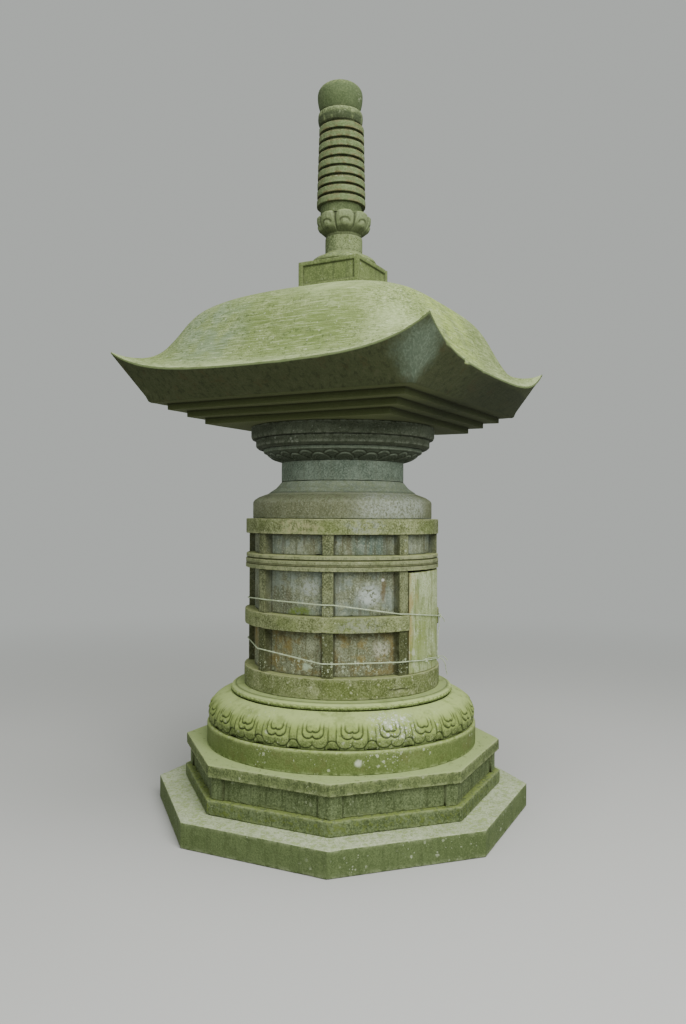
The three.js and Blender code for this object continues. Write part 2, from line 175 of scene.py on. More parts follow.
def lattice(cells, seed):
    """A fixed random value from 0 to 1 for each whole-numbered cell"""
    mixed = cells[:, 0] * 73856093 ^ cells[:, 1] * 19349663 ^ cells[:, 2] * 83492791 ^ (seed + 11) * 26544357
    mixed = (mixed ^ (mixed >> 13)) * 1274126177
    return ((mixed ^ (mixed >> 16)) & 0xFFFF) / 0xFFFF


def grain(points, size, octaves=3, seed=0):
    """Smooth noise from -1 to 1 with humps about as wide as size"""
    total, strength, whole = np.zeros(len(points)), 1.0, 0.0
    for octave in range(octaves):
        at = points * (2 ** octave / size) + 7.31 * (seed + octave)
        cell = np.floor(at).astype(np.int64)
        part = at - cell
        part = part * part * (3 - 2 * part)
        value = np.zeros(len(points))
        for corner in np.ndindex(2, 2, 2):
            weight = np.where(np.array(corner) == 1, part, 1 - part).prod(axis=1)
            value += weight * lattice(cell + np.array(corner), seed)
        total += strength * (2 * value - 1)
        whole += strength
        strength *= 0.5
    return total / whole


def smooth(value, low, high):
    """0 below low, 1 above high, and a smooth step between them"""
    part = np.clip((value - low) / (high - low), 0, 1)
    return part * part * (3 - 2 * part)


# Sections, outlines and meshes

def stretch(start, end, step):
    """Points from just after start up to end"""
    count = max(1, round(float(np.linalg.norm(end - start)) / step))
    return [start + (end - start) * i / count for i in range(1, count + 1)]


def distance_along(line):
    """How far each point of a line is from its start, measured along it"""
    return np.concatenate([[0], np.cumsum(np.linalg.norm(np.diff(line, axis=0), axis=1))])


def section(corners, rounding=4, step=8):
    """Rows of a stone's section, from (distance, height) or (distance, height, step) corners.

    Each corner is rounded. The result has each row's reach, height, distance along the section,
    and nearness to an outward corner (edge) and to an inward corner (hollow)."""
    places = [np.array(corner[:2], float) for corner in corners]
    steps = [corner[2] if len(corner) > 2 else step for corner in corners]
    rows = [places[0]]
    marks = []
    for i in range(1, len(places) - 1):
        back, ahead = places[i - 1] - places[i], places[i + 1] - places[i]
        lengths = np.linalg.norm(back), np.linalg.norm(ahead)
        bend = (ahead[1] * back[0] - ahead[0] * back[1]) / lengths[0] / lengths[1]
        if abs(bend) < 0.25 or rounding == 0:
            rows += stretch(rows[-1], places[i], steps[i])
            continue
        cut = min(rounding, 0.45 * lengths[0], 0.45 * lengths[1])
        start, end = places[i] + back / lengths[0] * cut, places[i] + ahead / lengths[1] * cut
        rows += stretch(rows[-1], start, steps[i])
        marks.append((len(rows) + 1, bend < 0, min(1, 1.6 * bend * bend)))
        rows += [(1 - t) ** 2 * start + 2 * t * (1 - t) * places[i] + t * t * end for t in (0.3, 0.6, 1)]
    rows += stretch(rows[-1], places[-1], steps[-1])
    rows = np.array(rows)
    along = distance_along(rows)
    edge, hollow = np.zeros(len(rows)), np.zeros(len(rows))
    for row, outward, sharpness in marks:
        near = sharpness * np.exp(-((along - along[min(row, len(rows) - 1)]) / (1.6 * rounding + 2)) ** 2)
        target = edge if outward else hollow
        np.maximum(target, near, out=target)
    return SimpleNamespace(reach=rows[:, 0], height=rows[:, 1], along=along, edge=edge, hollow=hollow)


def block_section(back, face, foot, head, rounding, step=30):
    """Rows of a stone's section with one upright face, from its hidden back and round to it again"""
    return section([(back, foot), (face, foot, step), (face, head, 7), (back, head, step)], rounding)


def smooth_line(points, count):
    """Points along a smooth curve through the given ones"""
    points = np.array(points, float)
    last = len(points) - 1
    line = []
    for i in range(count + 1):
        at = last * i / count
        k = min(int(at), last - 1)
        t = at - k
        p0, p1, p2, p3 = points[max(k - 1, 0)], points[k], points[k + 1], points[min(k + 2, last)]
        v1, v2 = (p2 - p0) / 2, (p3 - p1) / 2
        line.append((2 * (p1 - p2) + v1 + v2) * t ** 3 + (3 * (p2 - p1) - 2 * v1 - v2) * t ** 2 + v1 * t + p1)
    return np.array(line)


def around(count):
    """Bearings all the way round, evenly spaced"""
    return np.arange(count) * 360 / count


def closer_at_ends(start, end, inset, count):
    """Values from start to end: at the given distances from each end, and evenly spaced between those"""
    inset = np.array(inset)
    between = np.linspace(start + inset[-1], end - inset[-1], count)
    return np.concatenate([start + inset[:-1], between, end - inset[-2::-1]])


def polygon_bearings(sides, flat, count, inset=(0, 2, 5, 10, 18, 30)):
    """Bearings round a regular polygon, closer together at its corners"""
    half = flat * np.tan(pi / sides)
    side = np.degrees(np.arctan(closer_at_ends(-half, half, inset, count)[:-1] / flat))
    return np.concatenate([side + k * 360 / sides for k in range(sides)])


def polygon_plan(sides):
    """How far a polygon's side reaches at a bearing, as a share of its least distance"""
    half = 180 / sides
    return lambda bearings: 1 / np.cos(np.radians((bearings + half) % (2 * half) - half))


def normals_of(points, closed, tube):
    """Outward directions of a grid of points whose rows run up the outside"""
    def change(axis, wrapped):
        if wrapped:
            return np.roll(points, -1, axis) - np.roll(points, 1, axis)
        return np.gradient(points, axis=axis)
    outward = np.cross(change(1, closed), change(0, tube))
    return outward / np.maximum(np.linalg.norm(outward, axis=2, keepdims=True), 1e-9)


def add_object(name, data):
    """A new object in the scene"""
    made = bpy.data.objects.new(name, data)
    bpy.context.scene.collection.objects.link(made)
    return made


def mesh_object(name, points, faces, marks):
    """An object made from points in millimetres, with a value on each point for each mark"""
    mesh = bpy.data.meshes.new(name)
    mesh.from_pydata((points * MM).tolist(), [], faces)
    for mark, values in marks.items():
        mesh.attributes.new(mark, "FLOAT", "POINT").data.foreach_set("value", values)
    return add_object(name, mesh)


def skin(name, points, closed, tube, marks):
    """Faces over a grid of points: poles, open ends and seams are closed"""
    rows, cols = points.shape[:2]
    ids = np.arange(rows * cols).reshape(rows, cols)
    poles = [] if tube else [row for row in (0, rows - 1) if np.ptp(points[row, :, :2]) < 1e-6]
    for row in poles:
        ids[row] = ids[row, 0]
    if closed:
        ids = np.hstack([ids, ids[:, :1]])
    if tube:
        ids = np.vstack([ids, ids[:1]])
    quads = np.stack([ids[:-1, :-1], ids[:-1, 1:], ids[1:, 1:], ids[1:, :-1]], axis=-1).reshape(-1, 4)
    faces = [list(dict.fromkeys(quad)) for quad in quads.tolist()]
    if not closed:
        faces += [ids[:rows, 0].tolist(), ids[:rows, -1][::-1].tolist()]
    used = np.unique(np.concatenate([np.array(face) for face in faces])) if poles else np.arange(rows * cols)
    place = np.zeros(rows * cols, int)
    place[used] = np.arange(len(used))
    faces = [[int(place[i]) for i in face] for face in faces]
    flat_marks = {mark: np.clip(values, 0, 1).reshape(-1)[used] for mark, values in marks.items()}
    return mesh_object(name, points.reshape(-1, 3)[used], faces, flat_marks)


def carve(name, rows, bearings, turn=0.0, plan=None, relief=None, closed=True, tube=False):
    """A stone swept round the axis: its section, its plan and the relief cut in its face"""
    angle = np.radians(bearings + turn)
    factor = np.ones(len(bearings)) if plan is None else plan(bearings)
    reach = rows.reach[:, None] * factor[None, :]
    height = np.repeat(rows.height[:, None], len(bearings), axis=1)
    points = np.stack([reach * np.sin(angle), -reach * np.cos(angle), height], axis=2)
    edge = np.repeat(rows.edge[:, None], len(bearings), axis=1)
    hollow = np.repeat(rows.hollow[:, None], len(bearings), axis=1)
    if relief is not None:
        push, cut, arris = relief(bearings[None, :], rows)
        points = points + normals_of(points, closed, tube) * np.broadcast_to(push, edge.shape)[:, :, None]
        hollow, edge = np.maximum(hollow, cut), np.maximum(edge, arris)
    return skin(name, points, closed, tube, {"edge": edge, "hollow": hollow})


def values_of(items, name, width=1):
    """A number, or a row of width numbers, for each item of a mesh"""
    values = np.empty(len(items) * width)
    items.foreach_get(name, values)
    return values if width == 1 else values.reshape(-1, width)


def weather(piece, wear, seed):
    """Moves a mesh's points a little along their normals: swells, pits and knocked edges"""
    mesh = piece.data
    points, directions = values_of(mesh.vertices, "co", 3) / MM, values_of(mesh.vertex_normals, "vector", 3)
    edge = values_of(mesh.attributes["edge"].data, "value")
    swell = 0.9 * grain(points, 240, 2, seed)
    pits = 0.45 * grain(points, 22, 2, seed + 1)
    chips = edge * (0.3 + 9 * np.clip(grain(points, 42, 3, seed + 2) - 0.3, 0, 1))
    points = points + directions * (wear * (swell + pits - chips - 0.6))[:, None]
    points = np.clip(points, *(np.array(corner) / MM for corner in cad_box))
    mesh.vertices.foreach_set("co", (points * MM).reshape(-1))
    mesh.polygons.foreach_set("use_smooth", np.ones(len(mesh.polygons), bool))
    mesh.update()


def place(piece, finish, *nodes):
    """Gives a piece its finish and its place in the frame"""
    piece.data.materials.clear()
    piece.data.materials.append(finish.material)
    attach(piece, "root")
    if nodes:
        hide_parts(*nodes)


def set_stone(piece, finish, *nodes, wear=1.0, seed=0):
    """Weathers a stone and puts it in its place"""
    weather(piece, wear, seed)
    place(piece, finish, *nodes)


def span(node):
    """A node's foot and head above the ground"""
    low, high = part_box(node)
    return low.z / MM, high.z / MM


def reach_of(node):
    """The farthest that a node reaches from the axis"""
    return max(v.co.xy.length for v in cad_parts[node].data.vertices) / MM


# Node trees

def node(tree, kind, values=None, **settings):
    """A node whose sockets are set or linked"""
    made = tree.nodes.new(kind)
    for key, value in settings.items():
        setattr(made, key, value)
    for socket, value in (values or {}).items():
        if isinstance(value, bpy.types.NodeSocket):
            tree.links.new(value, made.inputs[socket])
        else:
            made.inputs[socket].default_value = value
    return made


def geometry_tree(name, sockets):
    """A geometry tree with named inputs, and its input node"""
    tree = bpy.data.node_groups.new(name, "GeometryNodeTree")
    for label, kind in sockets:
        tree.interface.new_socket(label, in_out="INPUT", socket_type="NodeSocket" + kind)
    tree.interface.new_socket("Result", in_out="OUTPUT", socket_type="NodeSocketGeometry")
    return tree, tree.nodes.new("NodeGroupInput").outputs


def finish_tree(tree, given, geometry, weld=None):
    """Ends a geometry tree: instances made real, given their material"""
    real = node(tree, "GeometryNodeRealizeInstances", {"Geometry": geometry}).outputs[0]
    if weld is not None:
        real = node(tree, "GeometryNodeMergeByDistance", {"Geometry": real, "Distance": weld}).outputs[0]
    done = node(tree, "GeometryNodeSetMaterial", {"Geometry": real, "Material": given["Stone"]})
    node(tree, "NodeGroupOutput", {"Result": done.outputs[0]})
    return tree


def sum_of(tree, operation, *terms):
    """The outcome of a sum on numbers"""
    return node(tree, "ShaderNodeMath", dict(enumerate(terms)), operation=operation).outputs[0]


def vector_math(tree, operation, values, output="Vector"):
    """The outcome of a sum on vectors"""
    return node(tree, "ShaderNodeVectorMath", values, operation=operation).outputs[output]


def round_tree():
    """Copies a sector round the axis and welds the copies"""
    sockets = [("Sector", "Geometry"), ("Count", "Int"), ("Weld", "Float"), ("Stone", "Material")]
    tree, given = geometry_tree("repeat_round_the_axis", sockets)
    places = node(tree, "GeometryNodeMeshLine", {"Count": given["Count"], "Offset": (0, 0, 0)})
    index = node(tree, "GeometryNodeInputIndex").outputs[0]
    turn = sum_of(tree, "DIVIDE", sum_of(tree, "MULTIPLY", index, 2 * pi), given["Count"])
    spin = node(tree, "ShaderNodeCombineXYZ", {"Z": turn}).outputs[0]
    copies = node(tree, "GeometryNodeInstanceOnPoints",
                  {"Points": places.outputs[0], "Instance": given["Sector"], "Rotation": spin})
    return finish_tree(tree, given, copies.outputs[0], given["Weld"])


def ring_tree():
    """Stacks copies of one ring, each narrower than the one below"""
    sockets = [("Ring", "Geometry"), ("Rings", "Int"), ("Foot", "Float"), ("Pitch", "Float"),
               ("Narrowing", "Float"), ("Stone", "Material")]
    tree, given = geometry_tree("stack_of_rings", sockets)
    start = node(tree, "ShaderNodeCombineXYZ", {"Z": given["Foot"]}).outputs[0]
    rise = node(tree, "ShaderNodeCombineXYZ", {"Z": given["Pitch"]}).outputs[0]
    places = node(tree, "GeometryNodeMeshLine",
                  {"Count": given["Rings"], "Start Location": start, "Offset": rise})
    index = node(tree, "GeometryNodeInputIndex").outputs[0]
    width = sum_of(tree, "SUBTRACT", 1.0, sum_of(tree, "MULTIPLY", index, given["Narrowing"]))
    scale = node(tree, "ShaderNodeCombineXYZ", {"X": width, "Y": width, "Z": 1.0}).outputs[0]
    copies = node(tree, "GeometryNodeInstanceOnPoints",
                  {"Points": places.outputs[0], "Instance": given["Ring"], "Scale": scale})
    return finish_tree(tree, given, copies.outputs[0])


def twine_tree(strands=3):
    """Lays strands of yarn round a path with a steady twist"""
    sockets = [("Path", "Geometry"), ("Lay length", "Float"), ("Lay radius", "Float"), ("Yarn radius", "Float"),
               ("Step", "Float"), ("Stone", "Material")]
    tree, given = geometry_tree("twisted_twine", sockets)
    path = node(tree, "GeometryNodeResampleCurve",
                {"Curve": given["Path"], "Length": given["Step"]}, mode="LENGTH")
    along = node(tree, "GeometryNodeSplineParameter").outputs["Length"]
    normal = node(tree, "GeometryNodeInputNormal").outputs[0]
    tangent = node(tree, "GeometryNodeInputTangent").outputs[0]
    side = vector_math(tree, "CROSS_PRODUCT", {0: tangent, 1: normal})
    round_yarn = node(tree, "GeometryNodeCurvePrimitiveCircle",
                      {"Resolution": 6, "Radius": given["Yarn radius"]})
    joined = node(tree, "GeometryNodeJoinGeometry")
    for strand in range(strands):
        turns = sum_of(tree, "DIVIDE", sum_of(tree, "MULTIPLY", along, 2 * pi), given["Lay length"])
        angle = sum_of(tree, "ADD", turns, 2 * pi * strand / strands)
        parts = []
        for way, trig in ((normal, "COSINE"), (side, "SINE")):
            reach = sum_of(tree, "MULTIPLY", sum_of(tree, trig, angle), given["Lay radius"])
            parts.append(vector_math(tree, "SCALE", {0: way, "Scale": reach}))
        offset = vector_math(tree, "ADD", {0: parts[0], 1: parts[1]})
        laid = node(tree, "GeometryNodeSetPosition", {"Geometry": path.outputs[0], "Offset": offset})
        yarn = node(tree, "GeometryNodeCurveToMesh",
                    {"Curve": laid.outputs[0], "Profile Curve": round_yarn.outputs[0], "Fill Caps": True})
        tree.links.new(yarn.outputs[0], joined.inputs[0])
    return finish_tree(tree, given, joined.outputs[0])


def grow(name, tree, source, **inputs):
    """Runs a geometry tree on a source object and keeps the result as a plain mesh"""
    source.name = name + "_source"
    modifier = source.modifiers.new("grow", "NODES")
    modifier.node_group = tree
    for item in tree.interface.items_tree:
        key = item.name.replace(" ", "_").lower()
        if item.in_out == "INPUT" and key in inputs:
            modifier[item.identifier] = inputs[key]
    graph = bpy.context.evaluated_depsgraph_get()
    mesh = bpy.data.meshes.new_from_object(source.evaluated_get(graph))
    mesh.name = name
    bpy.data.objects.remove(source)
    return add_object(name, mesh)


# Finishes

def colour(code):
    """A hex colour as linear red, green, blue, alpha"""
    parts = [int(code[i:i + 2], 16) / 255 for i in (0, 2, 4)]
    return (*[p / 12.92 if p <= 0.04045 else ((p + 0.055) / 1.055) ** 2.4 for p in parts], 1.0)


class Finish:
    """A material built up in coats, from patterns on the Object coordinates in millimetres.

    A bearing on a stone is added to how far its storey is turned."""

    def __init__(self, name, ground, turned=0.0):
        self.material = bpy.data.materials.new(name)
        self.material.use_nodes = True
        self.tree = self.material.node_tree
        self.tree.nodes.clear()
        self.turned = turned
        here = node(self.tree, "ShaderNodeTexCoord").outputs["Object"]
        self.place = vector_math(self.tree, "SCALE", {0: here, "Scale": 1 / MM})
        normal = node(self.tree, "ShaderNodeNewGeometry").outputs["Normal"]
        self.upward = node(self.tree, "ShaderNodeSeparateXYZ", {"Vector": normal}).outputs["Z"]
        along_x, along_y, self.above = node(self.tree, "ShaderNodeSeparateXYZ", {"Vector": self.place}).outputs
        self.square_reach = self.math("MAXIMUM", self.math("ABSOLUTE", along_x), self.math("ABSOLUTE", along_y))
        on_square = {"X": self.square_reach, "Y": self.math("ADD", along_x, along_y), "Z": self.above}
        self.on_square = node(self.tree, "ShaderNodeCombineXYZ", on_square).outputs[0]
        self.colour = node(self.tree, "ShaderNodeRGB").outputs[0]
        self.colour.default_value = colour(ground)
        self.height = 0.0

    def math(self, operation, *terms):
        return sum_of(self.tree, operation, *terms)

    def both(self, *masks):
        """The product of masks"""
        cover = masks[0]
        for mask in masks[1:]:
            cover = self.math("MULTIPLY", cover, mask)
        return cover

    def at_size(self, size, place=None, squash=(1, 1, 1), shift=0.0):
        """Coordinates in steps of size, closer together where squash is above 1"""
        values = {"Vector": place or self.place, "Scale": [s / size for s in squash], "Location": (shift,) * 3}
        return node(self.tree, "ShaderNodeMapping", values).outputs[0]

    def noise(self, size, detail=3.0, squash=(1, 1, 1), rough=0.55, shift=0.0, on=None):
        """Noise with humps of about size"""
        values = {"Vector": self.at_size(size, on, squash, shift), "Scale": 1.0, "Detail": detail,
                  "Roughness": rough}
        return node(self.tree, "ShaderNodeTexNoise", values).outputs[0]

    def clouds(self, size, low, high, detail=4, **pattern):
        """Noise as a mask, 0 at low and 1 at high"""
        return self.level(self.noise(size, detail, **pattern), low, high)

    def stirred(self, size, strength):
        """The place, shifted about by noise"""
        noise = node(self.tree, "ShaderNodeTexNoise", {"Vector": self.at_size(size), "Scale": 1.0, "Detail": 3.0})
        away = vector_math(self.tree, "SUBTRACT", {0: noise.outputs["Color"], 1: (0.5, 0.5, 0.5)})
        away = vector_math(self.tree, "SCALE", {0: away, "Scale": 2 * strength})
        return vector_math(self.tree, "ADD", {0: self.place, 1: away})

    def spots(self, size, share, shift=0.0):
        """Round spots with ragged rims, no two alike, in a share of the cells of the given size"""
        place = self.at_size(size, self.stirred(size * 0.4, size * 0.28), shift=shift)
        cells = node(self.tree, "ShaderNodeTexVoronoi", {"Vector": place, "Scale": 1.0})
        chance = node(self.tree, "ShaderNodeSeparateXYZ", {"Vector": cells.outputs["Color"]}).outputs["X"]
        reach = self.math("MULTIPLY", self.level(chance, 1 - share, 1.05), 0.5)
        return self.level(self.math("SUBTRACT", reach, cells.outputs["Distance"]), 0.0, 0.06)

    def level(self, value, low, high):
        """0 at low, 1 at high and smooth between"""
        values = {"Value": value, "From Min": low, "From Max": high}
        return node(self.tree, "ShaderNodeMapRange", values, interpolation_type="SMOOTHSTEP").outputs[0]

    def facing_up(self, low=0.2, high=0.8):
        return self.level(self.upward, low, high)

    def facing_down(self, low=0.3, high=0.75):
        return self.level(self.upward, -low, -high)

    def mark(self, name):
        """A value that the mesh carries on its points"""
        return node(self.tree, "ShaderNodeAttribute", attribute_name=name).outputs["Fac"]

    def between(self, zone, soft=6):
        """1 between a zone's two heights above the ground"""
        low, high = zone
        return self.both(self.level(self.above, low - soft, low + soft),
                         self.level(self.above, high + soft, high - soft))

    def near(self, bearing, reach, height, size, squash=(1, 1, 1)):
        """1 at a place on the stone, fading out raggedly at about size from it"""
        angle = radians(bearing + self.turned)
        centre = (reach * sin(angle), -reach * cos(angle), height)
        away = vector_math(self.tree, "SUBTRACT", {0: self.stirred(size * 0.5, size * 0.3), 1: centre})
        away = vector_math(self.tree, "MULTIPLY", {0: away, 1: squash})
        return self.level(vector_math(self.tree, "LENGTH", {0: away}, "Value"), size, size * 0.35)

    def coat(self, code, *masks):
        """Lays a colour over what is there, through the product of its masks"""
        cover = self.both(*masks)
        made = node(self.tree, "ShaderNodeMix", {"Factor": cover}, data_type="RGBA")
        self.tree.links.new(self.colour, made.inputs[6])
        made.inputs[7].default_value = colour(code)
        self.colour = made.outputs[2]
        return cover

    def raise_by(self, value, depth):
        """Adds to the bump, in millimetres"""
        self.height = self.math("ADD", self.height, self.math("MULTIPLY", value, depth))

    def mottle(self, light, dark, depth=1.0, where=1.0):
        """Old stone's ground: broad clouds, hand-sized blotches and coarse grain, lighter and darker"""
        broad, blotch = self.noise(260, 3, shift=31), self.noise(46, 5, rough=0.68, shift=40)
        speckle = self.noise(8, 4, rough=0.75, shift=12)
        for pattern, spread, strength in ((broad, 0.17, 0.5), (blotch, 0.2, 0.75), (speckle, 0.14, 0.95)):
            self.coat(dark, self.level(pattern, 0.5, 0.5 - spread), strength * depth, where)
            self.coat(light, self.level(pattern, 0.5, 0.5 + spread), strength * depth, where)
        self.raise_by(speckle, 2.5 * depth)
        self.raise_by(blotch, 3.0 * depth)

    def patches(self, table, squash, ragged, strength=1.0, where=1.0):
        """Ragged patches from a table of (colour, bearing, reach, height, size)"""
        for code, *place in table:
            self.coat(code, where, self.near(*place, squash), ragged, strength)

    def streaks(self, code, strength, width=26, shift=9.0):
        """Stains that run down the stone"""
        runs = self.clouds(width, 0.5, 0.64, 5, squash=(1, 1, 0.1), rough=0.66, shift=shift)
        self.coat(code, runs, self.level(self.upward, 0.75, 0.3), strength)

    def lichens(self, code, share, size, strength, where=None, shift=0.0):
        """Crusts of lichen, spots of two sizes: in loose groups, or where a mask says"""
        if where is None:
            where = self.clouds(size * 9, 0.5, 0.62, 3, shift=shift + 3)
        self.coat(code, self.spots(size, share, shift), strength, where)
        crust = self.coat(code, self.spots(size * 0.45, share, shift + 20), strength, where)
        self.raise_by(crust, 0.8)

    def mosses(self, code, cover, strength=0.9, where=None):
        """Moss on what faces up, or where a mask says, thinning out in tufts"""
        tufts = self.clouds(21, 0.66 - 0.4 * cover, 0.72 - 0.3 * cover, 5, rough=0.72, shift=5)
        growth = self.coat(code, self.facing_up() if where is None else where, tufts, strength)
        self.raise_by(growth, 1.5)

    def grime_and_shade(self, code="33361e", below=0.6, hollows=0.8):
        """Dark colour in hollows and on undersides: dirt, and painted shade"""
        self.coat(code, self.mark("hollow"), hollows)
        self.coat(code, self.facing_down(), below)

    def worn_edges(self, code, strength=0.5):
        # Paler edges: wear, and a painted highlight along the arrises
        self.coat(code, self.mark("edge"), self.clouds(30, 0.4, 0.6, rough=0.7, shift=2), strength)

    def done(self, slot, rough=0.92, specular=0.25):
        """The finished material and the record's slot that it belongs to"""
        bump = node(self.tree, "ShaderNodeBump", {"Height": self.height, "Distance": MM, "Strength": 1.0})
        shader = node(self.tree, "ShaderNodeBsdfPrincipled",
                      {"Base Color": self.colour, "Normal": bump.outputs[0], "Roughness": rough,
                       "Specular IOR Level": specular})
        node(self.tree, "ShaderNodeOutputMaterial", {"Surface": shader.outputs[0]})
        return SimpleNamespace(material=self.material, slot=slot)


def slab_stone():
    stone = Finish("bare_slab", "6f7d50")
    stone.mottle("8b9969", "4f5c36")
    # Paler, greyer tops: partly the slab's own tone, partly painted light from the sky above
    stone.coat("c8d4aa", stone.facing_up(), 0.85)
    stone.mottle("d8dec4", "98a47b", 0.6, stone.facing_up())
    # Darker sides: painted shade, with a greener tone
    stone.coat("55653a", stone.level(stone.upward, 0.6, 0.3), 0.65)
    stone.mosses("9db265", 0.4, 0.7)
    stone.streaks("4c5934", 0.4)
    stone.lichens("bfc8ab", 0.3, 22, 0.5)
    stone.worn_edges("a4af86")
    stone.grime_and_shade()
    return stone.done("slab_stone")


def plinth_stone():
    stone = Finish("mossy_plinth", "626f49")
    stone.mottle("7d8a61", "45512e")
    stone.streaks("3e482a", 0.5)
    stone.streaks("788662", 0.3, 18, 51)
    stone.mosses("8e9e56", 0.7)
    stone.mosses("697734", 0.4, 0.7, stone.between(ZONE.moulding, 20))
    stone.lichens("9ea787", 0.25, 20, 0.5)
    stone.worn_edges("929e71", 0.7)
    stone.grime_and_shade()
    return stone.done("plinth_stone")


def coping_stone():
    stone = Finish("mossy_coping", "616e43")
    stone.mottle("7d8a57", "465130")
    stone.streaks("4a5530", 0.45)
    stone.streaks("849160", 0.3, 18, 51)
    stone.mosses("b0c280", 0.95)
    stone.lichens("b9c19c", 0.25, 20, 0.5)
    stone.worn_edges("a9b383", 0.7)
    stone.grime_and_shade()
    return stone.done("plinth_stone")


def lotus_stone():
    """Mossy stone, pale on its shoulder, with a bare and lichened patch on its petals"""
    stone = Finish("green_lotus", "76864c")
    stone.mottle("93a066", "546031")
    stone.streaks("5d6b3c", 0.3)
    stone.mosses("9bae5e", 0.85, 0.8, stone.facing_up(-0.1, 0.6))
    stone.coat("c2d48a", stone.facing_up(0.1, 0.7), stone.between(ZONE.lotus_top, 30), 0.75)
    stone.coat("82944f", stone.clouds(130, 0.5, 0.62, 5, rough=0.65, shift=66),
               stone.between(ZONE.lotus_shoulder, 20), 0.55)
    skirt = stone.between(ZONE.skirt, 8)
    stone.coat("60703a", skirt, 0.6)
    stone.coat("69693c", stone.clouds(90, 0.52, 0.64, 5, rough=0.7, shift=29), skirt, 0.4)
    stone.lichens("c6cfae", 0.3, 20, 0.55)
    bare = stone.near(-41, 672, 560, 150, (1, 1, 1.5))
    stone.coat("b9c4a2", bare, stone.clouds(26, 0.47, 0.57, 5, rough=0.75, shift=63), 0.75)
    stone.lichens("dfe4d4", 0.85, 19, 0.85, bare, 50)
    stone.coat("cdd5ba", stone.near(-55.5, 696, 401, 23), 0.9)
    stone.lichens("c3ccaa", 0.5, 20, 0.65, stone.near(-46, 696, 418, 170, (1, 1, 2.4)), 80)
    stone.worn_edges("b0be86", 0.8)
    stone.grime_and_shade("2e391a", 0.5, 1.0)
    return stone.done("lotus_stone")


def band_stone():
    """Olive stone, darkest at the drum's foot"""
    stone = Finish("olive_band", "7e875b", DRUM_TURN)
    stone.mottle("a1a77c", "525a33")
    stone.coat("6d7a42", stone.clouds(170, 0.48, 0.6, shift=77), 0.6)
    stone.streaks("4b5131", 0.3)
    stone.patches(BAND_PATCHES, (1, 1, 2.2), stone.clouds(22, 0.44, 0.56, 5, rough=0.7))
    stone.coat("8f9478", stone.between(ZONE.double_band, 4), 0.4)
    low = stone.between(ZONE.base_band, 14)
    stone.coat("5e6b31", low, stone.clouds(70, 0.35, 0.6, shift=3), 0.75)
    stone.mottle("98a070", "545b32", 0.5)
    stone.lichens("b9be96", 0.3, 17, 0.6, low, 12)
    stone.mosses("a3ab72", 0.85)
    stone.lichens("b8bd99", 0.3, 20, 0.6)
    stone.worn_edges("adb186", 0.6)
    stone.grime_and_shade("3a3d24", 0.6)
    return stone.done("band_stone")


def wall_stone():
    """Lichened panels between olive posts: blue-grey in the upper storeys, rusty in the lowest"""
    stone = Finish("lichened_wall", "808669", DRUM_TURN)
    high, low = stone.between(ZONE.high_panels, 30), stone.between(ZONE.low_panels, 25)
    post, face = stone.mark("post"), WALL.panel
    stone.mottle("a0a689", "606349")
    stone.coat("8b978b", stone.clouds(120, 0.46, 0.58, rough=0.6, shift=60), high, 0.8)
    stone.coat("546c66", stone.near(-41, face, 1365, 130), 0.7)
    stone.mottle("aab2a1", "6d7568", 0.4, high)
    stone.streaks("595033", 0.45, 30)
    stone.streaks("545a37", 0.4, 17, 44)
    stone.patches(PANEL_PATCHES, (1, 1, 1.2), stone.clouds(17, 0.4, 0.54, rough=0.7, shift=4), 0.85)
    stone.coat("675532", stone.near(-33.8, face, 1150, 90, (5, 5, 1)), 0.7)
    stone.coat("877539", low, stone.clouds(70, 0.46, 0.64, 5, rough=0.65, shift=90), 0.65)
    rust = stone.clouds(44, 0.52, 0.68, 5, squash=(1, 1, 0.4), rough=0.65, shift=25)
    stone.coat("574723", low, rust, 0.6)
    stone.coat("babaa3", stone.near(-35, face, 862, 62), stone.clouds(15, 0.4, 0.54, rough=0.7, shift=14), 0.8)
    # Painted shade, broken into patches, on the low panels just under the middle band
    under_band_shade = stone.level(stone.above, *ZONE.low_panel_head)
    stone.coat("3f3a22", low, under_band_shade, stone.clouds(50, 0.36, 0.56, shift=73), 0.55)
    stone.coat("636841", post, 0.8)
    stone.coat("2c3012", post, low, 0.92)
    stone.mottle("9ba278", "434a2d", 0.8, post)
    stone.coat("40451f", post, low, 0.55)
    stone.lichens("bbc6a6", 0.6, 18, 0.85, stone.between(ZONE.low_panel_foot, 22), 30)
    stone.lichens("b3bca2", 0.35, 18, 0.6)
    stone.mosses("708337", 0.75, 0.9, stone.near(-86, face, 1030, 90, (1, 1, 2.2)))
    stone.worn_edges("919770", 0.4)
    stone.grime_and_shade("31321c", 0.5, 0.85)
    stone.coat("e2e6dd", stone.near(-34.2, face, 1194, 10), 0.85)
    stone.coat("bccfb2", stone.near(-81.7, face, 781, 26), 0.8)
    return stone.done("wall_stone")


